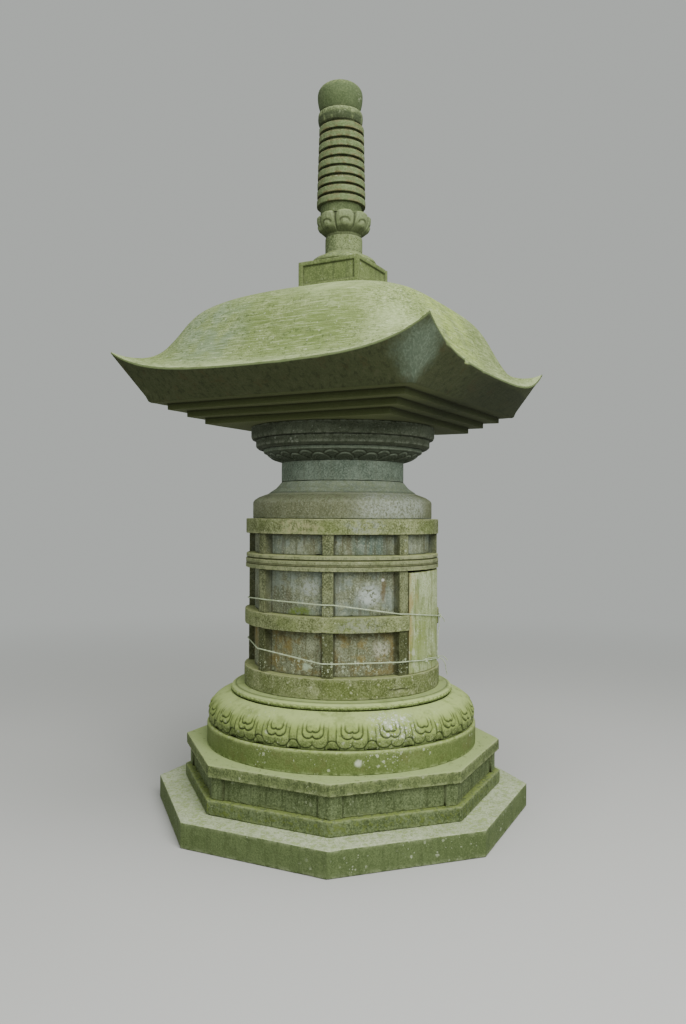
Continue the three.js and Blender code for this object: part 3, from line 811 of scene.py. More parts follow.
def door_stone():
    """Pale streaked stone, tan beside its left jamb and greener in its lower half"""
    stone = Finish("pale_door", "a5b280", DRUM_TURN)
    face = DOOR.face
    stone.mottle("c2cda6", "7d8a55", 0.9)
    stone.streaks("65723f", 0.8, 15)
    stone.streaks("c2cba6", 0.5, 10, 60)
    tan = stone.both(stone.near(-18.4, face, 1000, 420, (7, 7, 1)), stone.between(ZONE.door, 60))
    stone.coat("a48d58", tan, stone.clouds(34, 0.38, 0.56, squash=(1, 1, 0.3)), 0.7)
    stone.coat("7f8d54", stone.near(-10, face, 1010, 330, (6, 6, 1)), 0.45)
    stone.coat("e3e6da", stone.near(-15.6, face, 842, 26, (1.5, 1.5, 1)), 0.9)
    stone.coat("c9cfb6", stone.near(-15.5, face, 781, 24, (2, 2, 1)), 0.6)
    stone.coat("86954c", stone.between(ZONE.door_foot, 50), stone.clouds(120, 0.38, 0.58, shift=55), 0.6)
    stone.mosses("93a05c", 0.6)
    stone.lichens("cdd3bb", 0.25, 18, 0.5)
    stone.worn_edges("8d8b5c", 0.5)
    stone.grime_and_shade("43452a", 0.5)
    return stone.done("door_stone", rough=0.88)


def neck_stone():
    """Finely tooled grey-green stone, lighter and browner on the shoulder, with painted shade on the collars under
    the roof
    """
    stone = Finish("grey_green_neck", "72806f")
    stone.mottle("92a08f", "566353", 0.9)
    wall, slope = stone.between(ZONE.shoulder, 3), stone.between(ZONE.shoulder_slope, 3)
    stone.coat("787b5a", wall, 0.85)
    stone.mottle("93977b", "5c6144", 0.8, wall)
    pale = stone.both(stone.near(-28, 467, 1535, 300, (1, 1, 1.2)),
                      stone.clouds(12, 0.34, 0.62, rough=0.8, shift=8))
    stone.coat("b6beb2", pale, wall, 0.85)
    stone.streaks("626853", 0.25, 22)
    stone.coat("98a38d", slope, 0.6)
    stone.mottle("a9b49c", "6c7864", 0.6, slope)
    stone.coat("c0c6ae", stone.between(ZONE.shoulder_arris, 2), 0.35)
    stone.coat("454b39", stone.between(ZONE.shoulder_seam, 2), 0.45)
    stone.mosses("8a9570", 0.5, 0.6)
    stone.coat("656d58", stone.between(ZONE.waves, 3), 0.5)
    # Painted shade on the collars under the roof
    collars = stone.between(ZONE.collars, 2)
    stone.coat("3e422e", collars, 0.8)
    stone.mottle("5c6452", "2f3427", 0.4, collars)
    stone.lichens("a4ab9b", 0.2, 18, 0.4)
    stone.worn_edges("a3ab96", 0.35)
    stone.raise_by(stone.noise(7, 3, squash=(0.25, 0.25, 1.6), rough=0.7, shift=70), 2.0)
    stone.grime_and_shade("2f3324", 0.6, 0.9)
    return stone.done("neck_stone")


def roof_stone():
    """Green above, with fine level tooling; dark below, from damp stains and painted shade"""
    stone = Finish("tooled_roof", "8c9a65")
    top = stone.facing_up(0.05, 0.4)
    stone.mottle("a5b27e", "6b7a45", 0.75)
    stone.coat("77884a", top, stone.clouds(420, 0.5, 0.62, 3, shift=24), 0.5)
    stone.patches(ROOF_PATCHES, (1, 1, 1), stone.clouds(90, 0.3, 0.6, shift=48), 0.7, top)
    rim = stone.level(stone.square_reach, *RIM.pale)
    stone.coat("b8c495", top, rim, stone.clouds(60, 0.34, 0.5, shift=14), 0.6)
    tooling = stone.noise(6, 5, squash=(1, 0.06, 1), rough=0.7, shift=70, on=stone.on_square)
    stone.coat("5c6c3b", top, stone.level(tooling, 0.49, 0.37), 0.6)
    stone.coat("c2cda0", top, stone.level(tooling, 0.52, 0.64), 0.45)
    fleck = stone.clouds(15, 0.46, 0.37, squash=(0.7, 0.7, 1.2), rough=0.75, shift=35)
    stone.coat("4f5e34", top, fleck, stone.clouds(230, 0.36, 0.52, 3, shift=91), 0.75)
    stone.lichens("c4ccac", 0.12, 16, 0.4, top)
    lip = stone.both(stone.level(stone.square_reach, *RIM.face), stone.level(stone.upward, 0.7, 0.4))
    stone.coat("5d6a44", lip, 0.85)
    # Dark undersides: damp stains and painted shade under the eaves
    below = stone.facing_down(0.15, 0.45)
    stone.coat("363b25", below, 0.92)
    grain_below = stone.noise(26, 6, squash=(1, 1, 0.35), rough=0.75, shift=19)
    stone.coat("2b2f1c", below, stone.level(grain_below, 0.49, 0.38), 0.55)
    stone.coat("50523a", below, stone.level(grain_below, 0.53, 0.64), 0.5)
    stone.coat("4a4228", below, stone.clouds(90, 0.54, 0.66, 5, rough=0.7, shift=52), 0.4)
    corner = stone.both(stone.near(-45, 1100, 2125, 165, (1, 1, 0.7)), below)
    stone.coat("616f5d", corner, 0.75)
    stone.coat("7c8b76", corner, stone.clouds(9, 0.4, 0.68, squash=(1, 1, 0.1), rough=0.6), 0.5)
    steps = stone.between(ZONE.roof_steps, 4)
    # Painted shade on the steps under the eaves
    stone.coat("3d4325", steps, 0.92)
    stone.coat("5b6140", steps, stone.facing_down(0.3, 0.8), 0.8)
    stone.coat("20251a", stone.near(25, 850, 2080, 750), stone.level(stone.above, *RIM.shade), 0.45)
    # More painted shade on the steps towards the right
    stone.coat("20251a", steps, stone.near(-15, 650, 2000, 400), 0.4)
    stone.raise_by(tooling, 2.6)
    stone.grime_and_shade("2a2c1a", 0.0, 0.8)
    return stone.done("roof_stone")


def finial_stone():
    """Dark stone: greenest on the box, browned on the rings' edges, darkest at the top"""
    stone = Finish("dark_finial", "6b7853")
    rings = stone.between(ZONE.rings, 3)
    stone.mottle("8b9670", "49542f")
    stone.coat("6c7a45", stone.between(ZONE.box, 8), 0.75)
    stone.mottle("88955f", "55623a", 0.5)
    stone.coat("67784f", rings, 0.6)
    stone.coat("475636", stone.between(ZONE.jewel, 3), 0.7)
    stone.coat("4a5736", stone.between(ZONE.stem, 4), 0.6)
    stone.coat("86926a", stone.between(ZONE.lower_lotus, 4), 0.5)
    # Painted shade, broken into patches, over the upper lotus
    stone.coat("36402a", stone.between(ZONE.upper_lotus, 14), stone.clouds(40, 0.3, 0.5, shift=88), 0.85)
    stone.coat("6a5034", stone.mark("edge"), rings, stone.clouds(40, 0.42, 0.56, 3, shift=6), 0.6)
    stone.streaks("4c5438", 0.35, 20)
    stone.mosses("88955a", 0.5, 0.6)
    stone.lichens("a9b193", 0.3, 16, 0.5)
    stone.worn_edges("99a37c", 0.3)
    stone.grime_and_shade("282b1a", 0.6, 0.85)
    return stone.done("finial_stone")


def twine_fibre():
    """Weathered twine, grey-green with bleached flecks"""
    fibre = Finish("weathered_twine", "b9c6a2")
    fibre.coat("7c8a62", fibre.clouds(45, 0.5, 0.7), 0.7)
    fibre.coat("e3e8d6", fibre.clouds(12, 0.5, 0.7, 3, shift=8), 0.6)
    fibre.raise_by(fibre.noise(0.9, 2, squash=(1, 1, 3)), 0.4)
    return fibre.done("twine", rough=0.6, specular=0.35)


SLAB, PLINTH, COPING, LOTUS = slab_stone(), plinth_stone(), coping_stone(), lotus_stone()
BAND, PANEL, LEAF, COLLAR = band_stone(), wall_stone(), door_stone(), neck_stone()
CROWN_STONE, FINIAL, TWINE = roof_stone(), finial_stone(), twine_fibre()


# Plinth

def octagon_stone(node_name, finish, rounding, seed):
    """A plain octagonal stone with a worn arris"""
    foot, head = span(node_name)
    flat = reach_of(node_name) * FLAT
    rows = section([(0, foot), (flat - 60, foot, 250), (flat, foot, 20), (flat, head, 7), (flat - 150, head, 10),
                    (flat - 200, head, 30), (0, head, 250)], rounding)
    piece = carve("worn_" + node_name, rows, polygon_bearings(8, flat, 36), PLINTH_TURN, polygon_plan(8))
    set_stone(piece, finish, node_name, wear=1.1, seed=seed)


def die_stone(node_name, face, start, end, count, seed):
    """A post or a panel of the plinth: a length of an octagonal ring"""
    foot, head = span(node_name)
    rows = block_section(DIE.back, face, foot, head, 3)
    bearings = closer_at_ends(start, end, (0, 0.12, 0.35, 0.8), count)
    def joints(bearings, rows):
        near = np.minimum(bearings - start, end - bearings)
        return 0.0, np.exp(-(near / 0.25) ** 2) * (rows.reach > DIE.back + 5)[:, None] * 0.6, 0.0
    piece = carve("worn_" + node_name, rows, bearings, PLINTH_TURN, polygon_plan(8), joints,
                  closed=False, tube=True)
    set_stone(piece, PLINTH, node_name, seed=seed)


def make_plinth():
    octagon_stone("ground_slab", SLAB, rounding=6, seed=1)
    octagon_stone("plinth_moulding", PLINTH, rounding=5, seed=2)
    for side in range(8):
        first, last = side * 45 - 22.5 + POST_SPREAD, side * 45 + 22.5 - POST_SPREAD
        die_stone(f"plinth_panel_{side + 1}", DIE.panel, first, last, count=50, seed=10 + side)
        die_stone(f"plinth_post_{side + 1}", DIE.post, last, last + 2 * POST_SPREAD, count=17, seed=20 + side)
    octagon_stone("plinth_coping", COPING, rounding=5, seed=3)
    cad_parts["plinth_core"].material_slots[0].material = PLINTH.material


# Lotus stone

def rounded(inside, width):
    """Height of a worn edge, from 0 at a line to 1 at width inside it"""
    part = 1 - np.clip(inside / width, 0, 1)
    return np.sqrt(1 - part * part)


def overlay(height, level, share):
    """Brings a height towards a level by a share"""
    return height + (level - height) * share


def tongue(across, up, half, foot, parting):
    """Distance inside a petal's fold, which hangs down in two round lobes"""
    lobe = parting * half
    radius = half - lobe
    middle = foot + radius
    cleft = middle - np.sqrt(radius ** 2 - lobe ** 2)
    lobes = radius - np.hypot(across - lobe, up - middle)
    body = np.where(up > middle, half - across, lobe - across)
    return np.maximum(lobes, np.minimum(body, up - cleft))


def petal_relief(ledge, swell):
    """Downward petals in three nested folds, with the head of a small petal low between each two"""
    def relief(bearings, rows):
        up = (rows.along - ledge)[:, None]
        across = np.abs(np.radians(bearings) * swell)
        outer, middle, inner = (tongue(across, up, *PETAL[fold]) for fold in ("outer", "middle", "inner"))
        aside = pi * swell / PETALS - across
        small = 22 - np.hypot(aside, np.maximum(up - 24, 0) * 1.15)
        face = 9 + 7 * smooth(up, 40, 72) + 6 * smooth(up, 70, 98)
        height = 1 + 4.5 * smooth(up, 2, 40) * rounded(small, 14)
        height = overlay(height, face - 1, rounded(-small, 8))
        height = overlay(height, 9 + (face - 9) * smooth(up, 56, 116), rounded(outer, 12))
        height = overlay(height, 16 + (face - 16) * smooth(up, 84, 122), rounded(middle, 9))
        boss = np.clip(1 - (across / 26) ** 2 - ((up - 104) / 24) ** 2, 0, 1)
        height = overlay(height, 22 + 3 * boss, rounded(inner, 8))
        arch = np.where(outer > 0, 9, small) + 9 * smooth(up, 34, 24)
        lines = [(outer, 0.9 * smooth(up, 130, 84)), (middle, 1.0), (inner, 1.0), (arch, 0.8)]
        # The grooves, the cleft and the petals' foot are also marked as hollows, which the finish paints dark:
        # painted shade under the folds
        groove = sum(strength * np.exp(-((inside + 2) / 3) ** 2) for inside, strength in lines)
        cleft = np.exp(-(across / 2.4) ** 2) * smooth(up, 46, 36) * smooth(up, 20, 30)
        groove = np.clip(groove + 0.7 * cleft + 0.5 * smooth(up, 14, 2), 0, 1)
        kept = (1 - smooth(up, 96, 142)) * (up >= 0)
        return (height - face - 2.4 * groove) * kept, groove * kept, 0.0
    return relief


def make_petals(repeat, radius, skirt):
    """The belt of petals, from the skirt's ledge to under the beaded ring"""
    swell = smooth_line([(radius - inset, rise) for inset, rise in SWELL], 160)
    along = distance_along(swell)
    wanted = np.concatenate([np.arange(0, 142, 2.7), np.linspace(144, along[-1], 9)])
    line = np.stack([np.interp(wanted, along, swell[:, 0]), np.interp(wanted, along, swell[:, 1])], axis=1)
    back = [(radius - 34, SWELL[0][1]), *line, (line[-1][0] - 14, line[-1][1] - 3)]
    rows = section([(reach, skirt + rise, 300) for reach, rise in back], 0)
    half = 180 / PETALS
    relief = petal_relief(rows.along[1], radius - 6)
    sector = carve("petal", rows, np.linspace(-half, half, 49), relief=relief, closed=False, tube=True)
    petals = grow("carved_petals", repeat, open_sector(sector), count=PETALS, weld=WELD, stone=LOTUS.material)
    turn(petals, PLINTH_TURN)
    set_stone(petals, LOTUS, wear=0.7, seed=30)


def open_sector(sector):
    """A sector without its two end faces, so that its copies weld into one skin"""
    mesh = sector.data
    faces = [list(face.vertices) for face in mesh.polygons if len(face.vertices) <= 4]
    places = values_of(mesh.vertices, "co", 3) / MM
    marks = {mark: values_of(mesh.attributes[mark].data, "value") for mark in ("edge", "hollow")}
    bpy.data.objects.remove(sector)
    return mesh_object("sector", places, faces, marks)


def turn(piece, degrees):
    """Turns a piece round the axis"""
    piece.data.transform(Matrix.Rotation(radians(degrees), 4, "Z"))


def bead(height, rows=8, cols=12):
    """One bead: a rounded lump that stands out from its ring"""
    tilt = np.linspace(-pi / 2, pi / 2, rows + 1)[:, None]
    angle = np.linspace(0, 2 * pi, cols, endpoint=False)[None, :]
    across, deep = BEAD.width * np.cos(tilt) * np.cos(angle), BEAD.depth * np.cos(tilt) * np.sin(angle)
    lump = np.stack([across, deep - BEAD.ring, height + BEAD.rise * np.sin(tilt) + 0 * angle], axis=2)
    # Painted shade on the bead's underside, carried in its hollow mark
    underside_shade = np.clip(-np.sin(tilt) + 0 * angle, 0, 1) * 0.5
    return skin("bead", lump, True, False, {"edge": 0 * underside_shade, "hollow": underside_shade})


def make_lotus(repeat):
    foot, head = span("lotus_base")
    radius = reach_of("lotus_base")
    skirt = foot + SKIRT_HEIGHT
    ledge = [(radius - inset, skirt + rise, step) for inset, rise, step in LEDGE]
    top = [(reach, skirt + rise, step) for reach, rise, step in LOTUS_TOP]
    rows = section([(0, foot), (radius, foot, 350), *ledge, *top, (LOTUS_HEAD, head, 8), (0, head, 300)], 3)
    body = carve("worn_lotus_base", rows, around(AROUND.lotus), PLINTH_TURN)
    set_stone(body, LOTUS, "lotus_base", seed=30)
    make_petals(repeat, radius, skirt)
    beads = grow("beaded_ring", repeat, bead(skirt + BEAD.above_skirt), count=BEADS, weld=0.0, stone=LOTUS.material)
    turn(beads, PLINTH_TURN)
    set_stone(beads, LOTUS, wear=0.8, seed=31)


# Drum

def wall_bearings(start, end, count=26):
    """Bearings round a wall, close together at the edges of its posts"""
    to_degrees = 180 / pi / (WALL.panel + WALL.post)
    marks = np.array([across for across, share in POST_FACE]) * to_degrees
    found = []
    for post in range(-1, POSTS + 1):
        centre = (post + 0.5) * BAY
        found += list(centre + marks) + list(centre - marks[1:])
        found += list(np.linspace(centre + marks[-1], centre + BAY - marks[-1], count)[1:-1])
    return np.unique(np.round([b for b in found if start < b < end], 4))


def post_share(across):
    """How far a post stands out at a distance from its middle"""
    return np.interp(across, *zip(*POST_FACE))


def from_post(bearings):
    """Distance round the wall from the middle of the nearest post"""
    return np.abs((bearings % BAY) - BAY / 2) * (WALL.panel + WALL.post) * pi / 180


def drum_bearings(places):
    """The bearings of points on the drum"""
    return np.degrees(np.arctan2(places[:, 0], -places[:, 1])) - DRUM_TURN


def post_relief(bearings, rows):
    """Raised posts on a round wall"""
    across = from_post(bearings)
    outer = (rows.reach > WALL.panel - 1)[:, None]
    # The arris is marked as an edge, painted light as a highlight; the recess beside it is marked as a hollow,
    # painted dark as shade
    edge = np.exp(-((across - 27.5) / 2.5) ** 2) * outer
    hollow = np.exp(-((across - 31) / 4) ** 2) * outer * 0.9
    return WALL.post * post_share(across) * outer, hollow, edge


def make_wall(node_name, open_front, seed):
    foot, head = span(node_name)
    rows = block_section(WALL.inside, WALL.panel, foot, head, 1, step=60)
    start, end = (WALL.jamb, 360 - WALL.jamb) if open_front else (0, 360)
    bearings = wall_bearings(start, end)
    if open_front:
        bearings = np.concatenate([[start], bearings, [end]])
    piece = carve("worn_" + node_name, rows, bearings, DRUM_TURN, relief=post_relief,
                  closed=not open_front, tube=True)
    places = values_of(piece.data.vertices, "co", 3)
    on_post = post_share(from_post(drum_bearings(places)))
    piece.data.attributes.new("post", "FLOAT", "POINT").data.foreach_set("value", on_post)
    # Painted shade on the panels just under the band above and just over the band below
    head_shade = smooth(places[:, 2] / MM, head - 13, head - 2) * 0.6
    foot_shade = smooth(places[:, 2] / MM, foot + 9, foot + 2) * 0.5
    shade(piece, np.maximum(head_shade, foot_shade))
    set_stone(piece, PANEL, node_name, seed=seed)


def shade(piece, values):
    """Adds painted shade to a mesh's hollow mark"""
    hollow = piece.data.attributes["hollow"].data
    hollow.foreach_set("value", np.maximum(values_of(hollow, "value"), values))


def cracked(bearings, rows):
    """A crack with a spalled lower edge, to the left of the doorway"""
    height = rows.height[:, None]
    bearings = (bearings + 180) % 360 - 180
    within = smooth(bearings, CRACK.start, CRACK.start + 2) * smooth(bearings, CRACK.end, CRACK.end - 2.5)
    middle = CRACK.height + 2.2 * np.sin(np.radians(bearings * 40)) - 0.3 * (bearings + 26)
    below = middle - height
    crack = np.exp(-(below / 2.6) ** 2) * within
    spall = smooth(below, 1, 4) * smooth(below, 24 + 8 * np.sin(np.radians(bearings * 23)), 9) * within
    outer = (rows.reach > 480)[:, None]
    return -(CRACK.depth * crack + CRACK.spall * spall) * outer, crack * outer, spall * 0.5 * outer


def make_band(node_name, corners, seed, open_front=False, relief=None, rounding=4, step=5, wear=1.2):
    """A band round the drum, with its section given from foot to head as (reach, share of the height)"""
    foot, head = span(node_name)
    outer = [(reach, foot + (head - foot) * share, step) for reach, share in corners]
    rows = section([(WALL.inside, foot), (*outer[0][:2], 20), *outer[1:], (WALL.inside, head, 20)], rounding)
    bearings = around(AROUND.band)
    if open_front:
        bearings = np.linspace(WALL.jamb, 360 - WALL.jamb, AROUND.open_band)
    piece = carve("worn_" + node_name, rows, bearings, DRUM_TURN, relief=relief, closed=not open_front, tube=True)
    set_stone(piece, BAND, node_name, wear=wear, seed=seed)


def make_leaf(node_name, start, end, seed, sag=0.0):
    """One of the two stones that close the doorway, its head worn down towards the left"""
    foot, head = span(node_name)
    rows = block_section(DOOR.back, DOOR.face, foot, head, 4)
    count = max(8, round((end - start) * 1.8))
    bearings = closer_at_ends(start, end, (0, 0.1, 0.25, 0.5, 0.9), count)
    def worn(bearings, rows):
        near = np.minimum(bearings - start, end - bearings)
        outer = (rows.reach > DOOR.back + 20)[:, None]
        push, hollow = -3.5 * np.exp(-near / 0.16), 0.7 * np.exp(-near / 0.2)
        return push * outer, hollow * outer, np.exp(-(near / 0.8) ** 2) * outer
    piece = carve("worn_" + node_name, rows, bearings, DRUM_TURN, relief=worn, closed=False, tube=True)
    places = values_of(piece.data.vertices, "co", 3)
    above = (places[:, 2] / MM - foot) / (head - foot)
    places[:, 2] -= sag * MM * above ** 8 * (end - drum_bearings(places)) / (end - start)
    piece.data.vertices.foreach_set("co", places.reshape(-1))
    set_stone(piece, LEAF, node_name, wear=0.8, seed=seed)


def make_drum():
    make_band("drum_base_band", BASE_BAND, seed=40, relief=cracked, step=3.4)
    make_wall("drum_lower_wall", open_front=True, seed=41)
    make_band("drum_middle_band", MIDDLE_BAND, seed=42, open_front=True)
    make_wall("drum_middle_wall", open_front=True, seed=43)
    make_band("drum_double_band", DOUBLE_BAND, seed=44, rounding=1.5, step=7, wear=0.6)
    make_wall("drum_upper_wall", open_front=False, seed=45)
    make_band("drum_top_band", TOP_BAND, seed=46)
    make_leaf("door_leaf_left", DOOR.left, DOOR.meeting - DOOR.play, seed=47, sag=4.0)
    make_leaf("door_leaf_right", DOOR.meeting + DOOR.play, DOOR.right, seed=48)


# Twine, with its routes given as bearing, reach and height above the drum's foot, and the radius of a yarn
# as a share of the twine's thickness

TAUT = SimpleNamespace(on_post=499.6, on_door=505.2, on_band=511.2, post_edge=3.3)
THICKNESS = SimpleNamespace(laid=7.0, tail=4.6, knot=5.0)
TWIST = SimpleNamespace(length=30, yarn_share=0.26)


def on_face(reach, start, end):
    """Points of a twine that lies on a round face, from one (bearing, height) to another"""
    count = int(np.ceil((end[0] - start[0]) / 7))
    return [(start[0] + (end[0] - start[0]) * i / count, reach, start[1] + (end[1] - start[1]) * i / count)
            for i in range(count + 1)]


def over_posts(first, heights):
    """Points of a twine that bends over both edges of each post"""
    points = []
    for i, height in enumerate(heights):
        centre = (first + i - 0.5) * BAY
        points += [(centre + side * TAUT.post_edge, TAUT.on_post, height) for side in (-1, 1)]
    return points


UPPER_ROUTE = [
    *on_face(TAUT.on_band, (22.4, 350), (104, 391.5)), *over_posts(3, [394, 409, 427, 452, 443]),
    (334.2, TAUT.on_post, 394), (340.6, 504.4, 390.4), *on_face(TAUT.on_door, (344, 387), (376, 354)),
    (378.4, 510.6, 352), (381.6, TAUT.on_band, 350.2),
]
LOWER_ROUTE = [
    (24, TAUT.on_post, 134.4), (25.8, TAUT.on_post, 135), *over_posts(2, [151, 171, 191, 215, 207, 168]),
    (334.2, TAUT.on_post, 164.6), (340.6, 504.4, 164), *on_face(TAUT.on_door, (344, 162.6), (378.8, 137)),
    (381.8, TAUT.on_post, 135.2), (383.2, TAUT.on_post, 134.6),
]
TAILS = [
    [(20, 512, 352), (21.5, 521, 344), (23.5, 531, 330), (24.6, 536, 315)],
    [(19.4, 514, 346), (19.6, 511, 322), (19.4, 509.5, 292), (18.8, 505, 262), (18.3, 503, 194), (18.4, 503, 150)],
    [(19.6, 506, 139), (21.5, 520, 141), (23.3, 536, 134), (24.6, 553, 114)],
    [(20, 507, 136), (21.8, 522, 126), (22.9, 534, 112), (23.6, 541, 92), (24, 545, 66), (24.8, 552, 40)],
    [(353.6, 507, 157), (355.2, 509, 151), (356.6, 512, 143), (357.3, 513, 134)],
    [(353, 506.5, 159), (358, 508, 161), (3, 507.5, 157), (9, 507, 151), (15, 507, 144), (19, 506, 140)],
]
KNOTS = [(20.6, 514, 350), (19.6, 506, 139), (355, 508, 156)]


def path_object(name, points):
    """A curve through points given in millimetres"""
    data = bpy.data.curves.new(name, "CURVE")
    data.dimensions = "3D"
    spline = data.splines.new("POLY")
    spline.points.add(len(points) - 1)
    for point, at in zip(spline.points, points):
        point.co = (at[0] * MM, at[1] * MM, at[2] * MM, 1.0)
    return add_object(name, data)


def on_drum(bearing, reach, height):
    """The point at a bearing and a reach on the drum, and at a height above its foot"""
    angle = radians(bearing + DRUM_TURN)
    return np.array([reach * sin(angle), -reach * cos(angle), span("lotus_base")[1] + height])


def lay_twine(name, tree, points, thickness, step=5.0):
    """Twine along points given in millimetres"""
    yarn = thickness * TWIST.yarn_share
    twine = grow(name, tree, path_object(name, points), lay_length=TWIST.length * MM,
                 lay_radius=(thickness / 2 - yarn) * MM, yarn_radius=yarn * MM, step=step * MM, stone=TWINE.material)
    twine.data.polygons.foreach_set("use_smooth", np.ones(len(twine.data.polygons), bool))
    return twine


def knot_points(bearing, reach, height, size=6.5, count=60):
    """An overhand knot: a looped path that lies against the drum"""
    middle = on_drum(bearing, reach, height)
    outward = on_drum(bearing, 1, 0) - on_drum(bearing, 0, 0)
    beside = on_drum(bearing + 90, 1, 0) - on_drum(bearing + 90, 0, 0)
    t = np.linspace(0, 2 * pi, count)[:, None]
    loop = (np.sin(t) + 2 * np.sin(2 * t)) * beside + (np.cos(t) - 2 * np.cos(2 * t)) * np.array([0, 0, 1])
    return middle + size * (loop / 2.2 - 0.55 * np.sin(3 * t) * outward)


def make_twine():
    tree = twine_tree()
    for name, route in (("upper_twine", UPPER_ROUTE), ("lower_twine", LOWER_ROUTE)):
        laid = lay_twine("laid_" + name, tree, [on_drum(*point) for point in route], THICKNESS.laid)
        place(laid, TWINE, name)
    for number, route in enumerate(TAILS):
        line = smooth_line([on_drum(*point) for point in route], 24)
        place(lay_twine(f"twine_tail_{number + 1}", tree, line, THICKNESS.tail), TWINE)
    for number, at in enumerate(KNOTS):
        place(lay_twine(f"twine_knot_{number + 1}", tree, knot_points(*at), THICKNESS.knot, step=2.5), TWINE)


# Shoulder, neck, wave ring and collars

def shift(piece, distance):
    """Moves a finial stone off the axis"""
    angle = radians(SET_OFF.bearing)
    piece.data.transform(Matrix.Translation((distance * MM * sin(angle), -distance * MM * cos(angle), 0)))


def make_turned(node_name, corners, finish, seed, count=AROUND.neck, step=7, turn=0.0, wear=1.0, aside=0):
    """A turned stone, its section given from foot to head as (reach, height above the foot)"""
    foot, head = span(node_name)
    body = [(reach, foot + rise, step) for reach, rise in corners]
    rows = section([(0, foot), (*body[0][:2], 200), *body[1:], (0, head, 200)])
    piece = carve("worn_" + node_name, rows, around(count), turn)
    shift(piece, aside)
    set_stone(piece, finish, node_name, wear=wear, seed=seed)


def wave_relief(start, width):
    """Two rows of wide nested arcs, as on a wave pattern, one row showing between the arcs of the other"""
    def relief(bearings, rows):
        up = ((rows.along - start) / width)[:, None]
        across = np.abs(bearings) / (180 / WAVES)
        front, rear = np.hypot(across / 0.8, up / 0.76), np.hypot((1 - across) / 0.8, (up - 0.14) / 0.8)
        push, hollow, arris = -WAVE_DEPTH.ground, 0.0, 0.0
        for distance, depth in ((rear, WAVE_DEPTH.rear), (front, WAVE_DEPTH.front)):
            # Crests are marked as edges, painted light as a highlight; the lines between them and the rim round each
            # arc are marked as hollows, painted dark as shade
            steps = sum(smooth(distance, ring + 0.02, ring - 0.03) for ring in (0.76, 0.52, 0.28))
            crest = sum(np.exp(-((distance - ring) / 0.05) ** 2) for ring in (0.94, 0.7, 0.46))
            line = sum(np.exp(-((distance - ring) / 0.04) ** 2) for ring in (0.8, 0.56, 0.31))
            within = distance < 1
            push = overlay(push, -depth - WAVE_DEPTH.step * steps, rounded(1 - distance, 0.1) * within)
            hollow = np.where(within, 0.9 * line, hollow) + np.exp(-((distance - 1.06) / 0.07) ** 2) * ~within
            arris = np.where(within, crest, arris)
        within = smooth(up, 0.0, 0.08) * smooth(up, 1.02, 0.94)
        return push * within, np.clip(hollow, 0, 1) * within, np.clip(arris, 0, 1) * within
    return relief


def make_waves(repeat):
    """The flared ring under the collars, carved with waves"""
    foot, head = span("wave_ring")
    flare = [(reach, foot + rise, 9) for reach, rise in smooth_line(WAVE_FLARE, 30)[1:]]
    rows = section([(0, foot), (WAVE_FLARE[0][0], foot, 160), *flare, (WAVE_CAP.reach, foot + WAVE_CAP.rise, 4),
                    (WAVE_CAP.reach, head, 5), (0, head, 200)], 1.5)
    start, end = (rows.along[np.argmin(np.hypot(rows.reach - reach, rows.height - foot - rise))]
                  for reach, rise in (WAVE_FLARE[0], WAVE_FLARE[-1]))
    half = 180 / WAVES
    relief = wave_relief(start, end - start)
    sector = carve("wave", rows, np.linspace(-half, half, 37), relief=relief, closed=False)
    waves = grow("carved_waves", repeat, open_sector(sector), count=WAVES, weld=WELD, stone=COLLAR.material)
    set_stone(waves, COLLAR, "wave_ring", wear=0.7, seed=52)


def make_neck(repeat):
    make_turned("shoulder", SHOULDER, COLLAR, seed=50)
    make_turned("neck", NECK, COLLAR, seed=51)
    make_waves(repeat)
    make_turned("lower_collar", LOWER_COLLAR, COLLAR, seed=53)
    make_turned("upper_collar", UPPER_COLLAR, COLLAR, seed=54)


# Roof

def roof_rows(foot):
    """Rows of the roof: half width, height, share of the corners' rise, squareness, edge and hollow.

    A squareness of 2 is a circle in plan, and infinity is a square."""
    square = np.inf
    corners, level = [(0, foot), (STEP_HALF[0], foot, 200)], foot
    for half, rise, following in zip(STEP_HALF, STEP_RISE, [*STEP_HALF[1:], EAVE.foot]):
        level += rise
        corners += [(half, level, 7), (following, level, 10)]
    below = section(corners + [(EAVE.foot + 9, level + 7.4, 3)], 3)
    rows = [(reach, height, 0.0, square, edge, hollow)
            for reach, height, edge, hollow in zip(below.reach, below.height, below.edge, below.hollow)]
    top = level + EAVE.rise
    for share in np.linspace(0.06, 1, 14)[1:]:
        half = EAVE.foot + (EAVE.half - EAVE.foot) * share
        rows.append((half, level + EAVE.rise * share, share, square, smooth(share, 0.93, 1), 0.0))
    for inset, rise in ((-0.5, 2), (-0.5, 6), (-2.5, 9)):
        rows.append((EAVE.half + inset, top + rise, 1.0, square, 1.0, 0.0))
    for half, height in smooth_line(CROWN, 82)[1:]:
        inward = (EAVE.half - half) / (EAVE.half - CROWN[-1][0])
        rows.append((half, top + EAVE.lip + height, (1 - inward) ** EAVE.lift_power,
                     EAVE.squareness + EAVE.cornering * inward ** -1.5, 1 - smooth(inward, 0, 0.02), 0.0))
    rows.append((0.0, top + EAVE.lip + CROWN[-1][1], 0.0, EAVE.squareness, 0.0, 0.0))
    return np.array(rows)


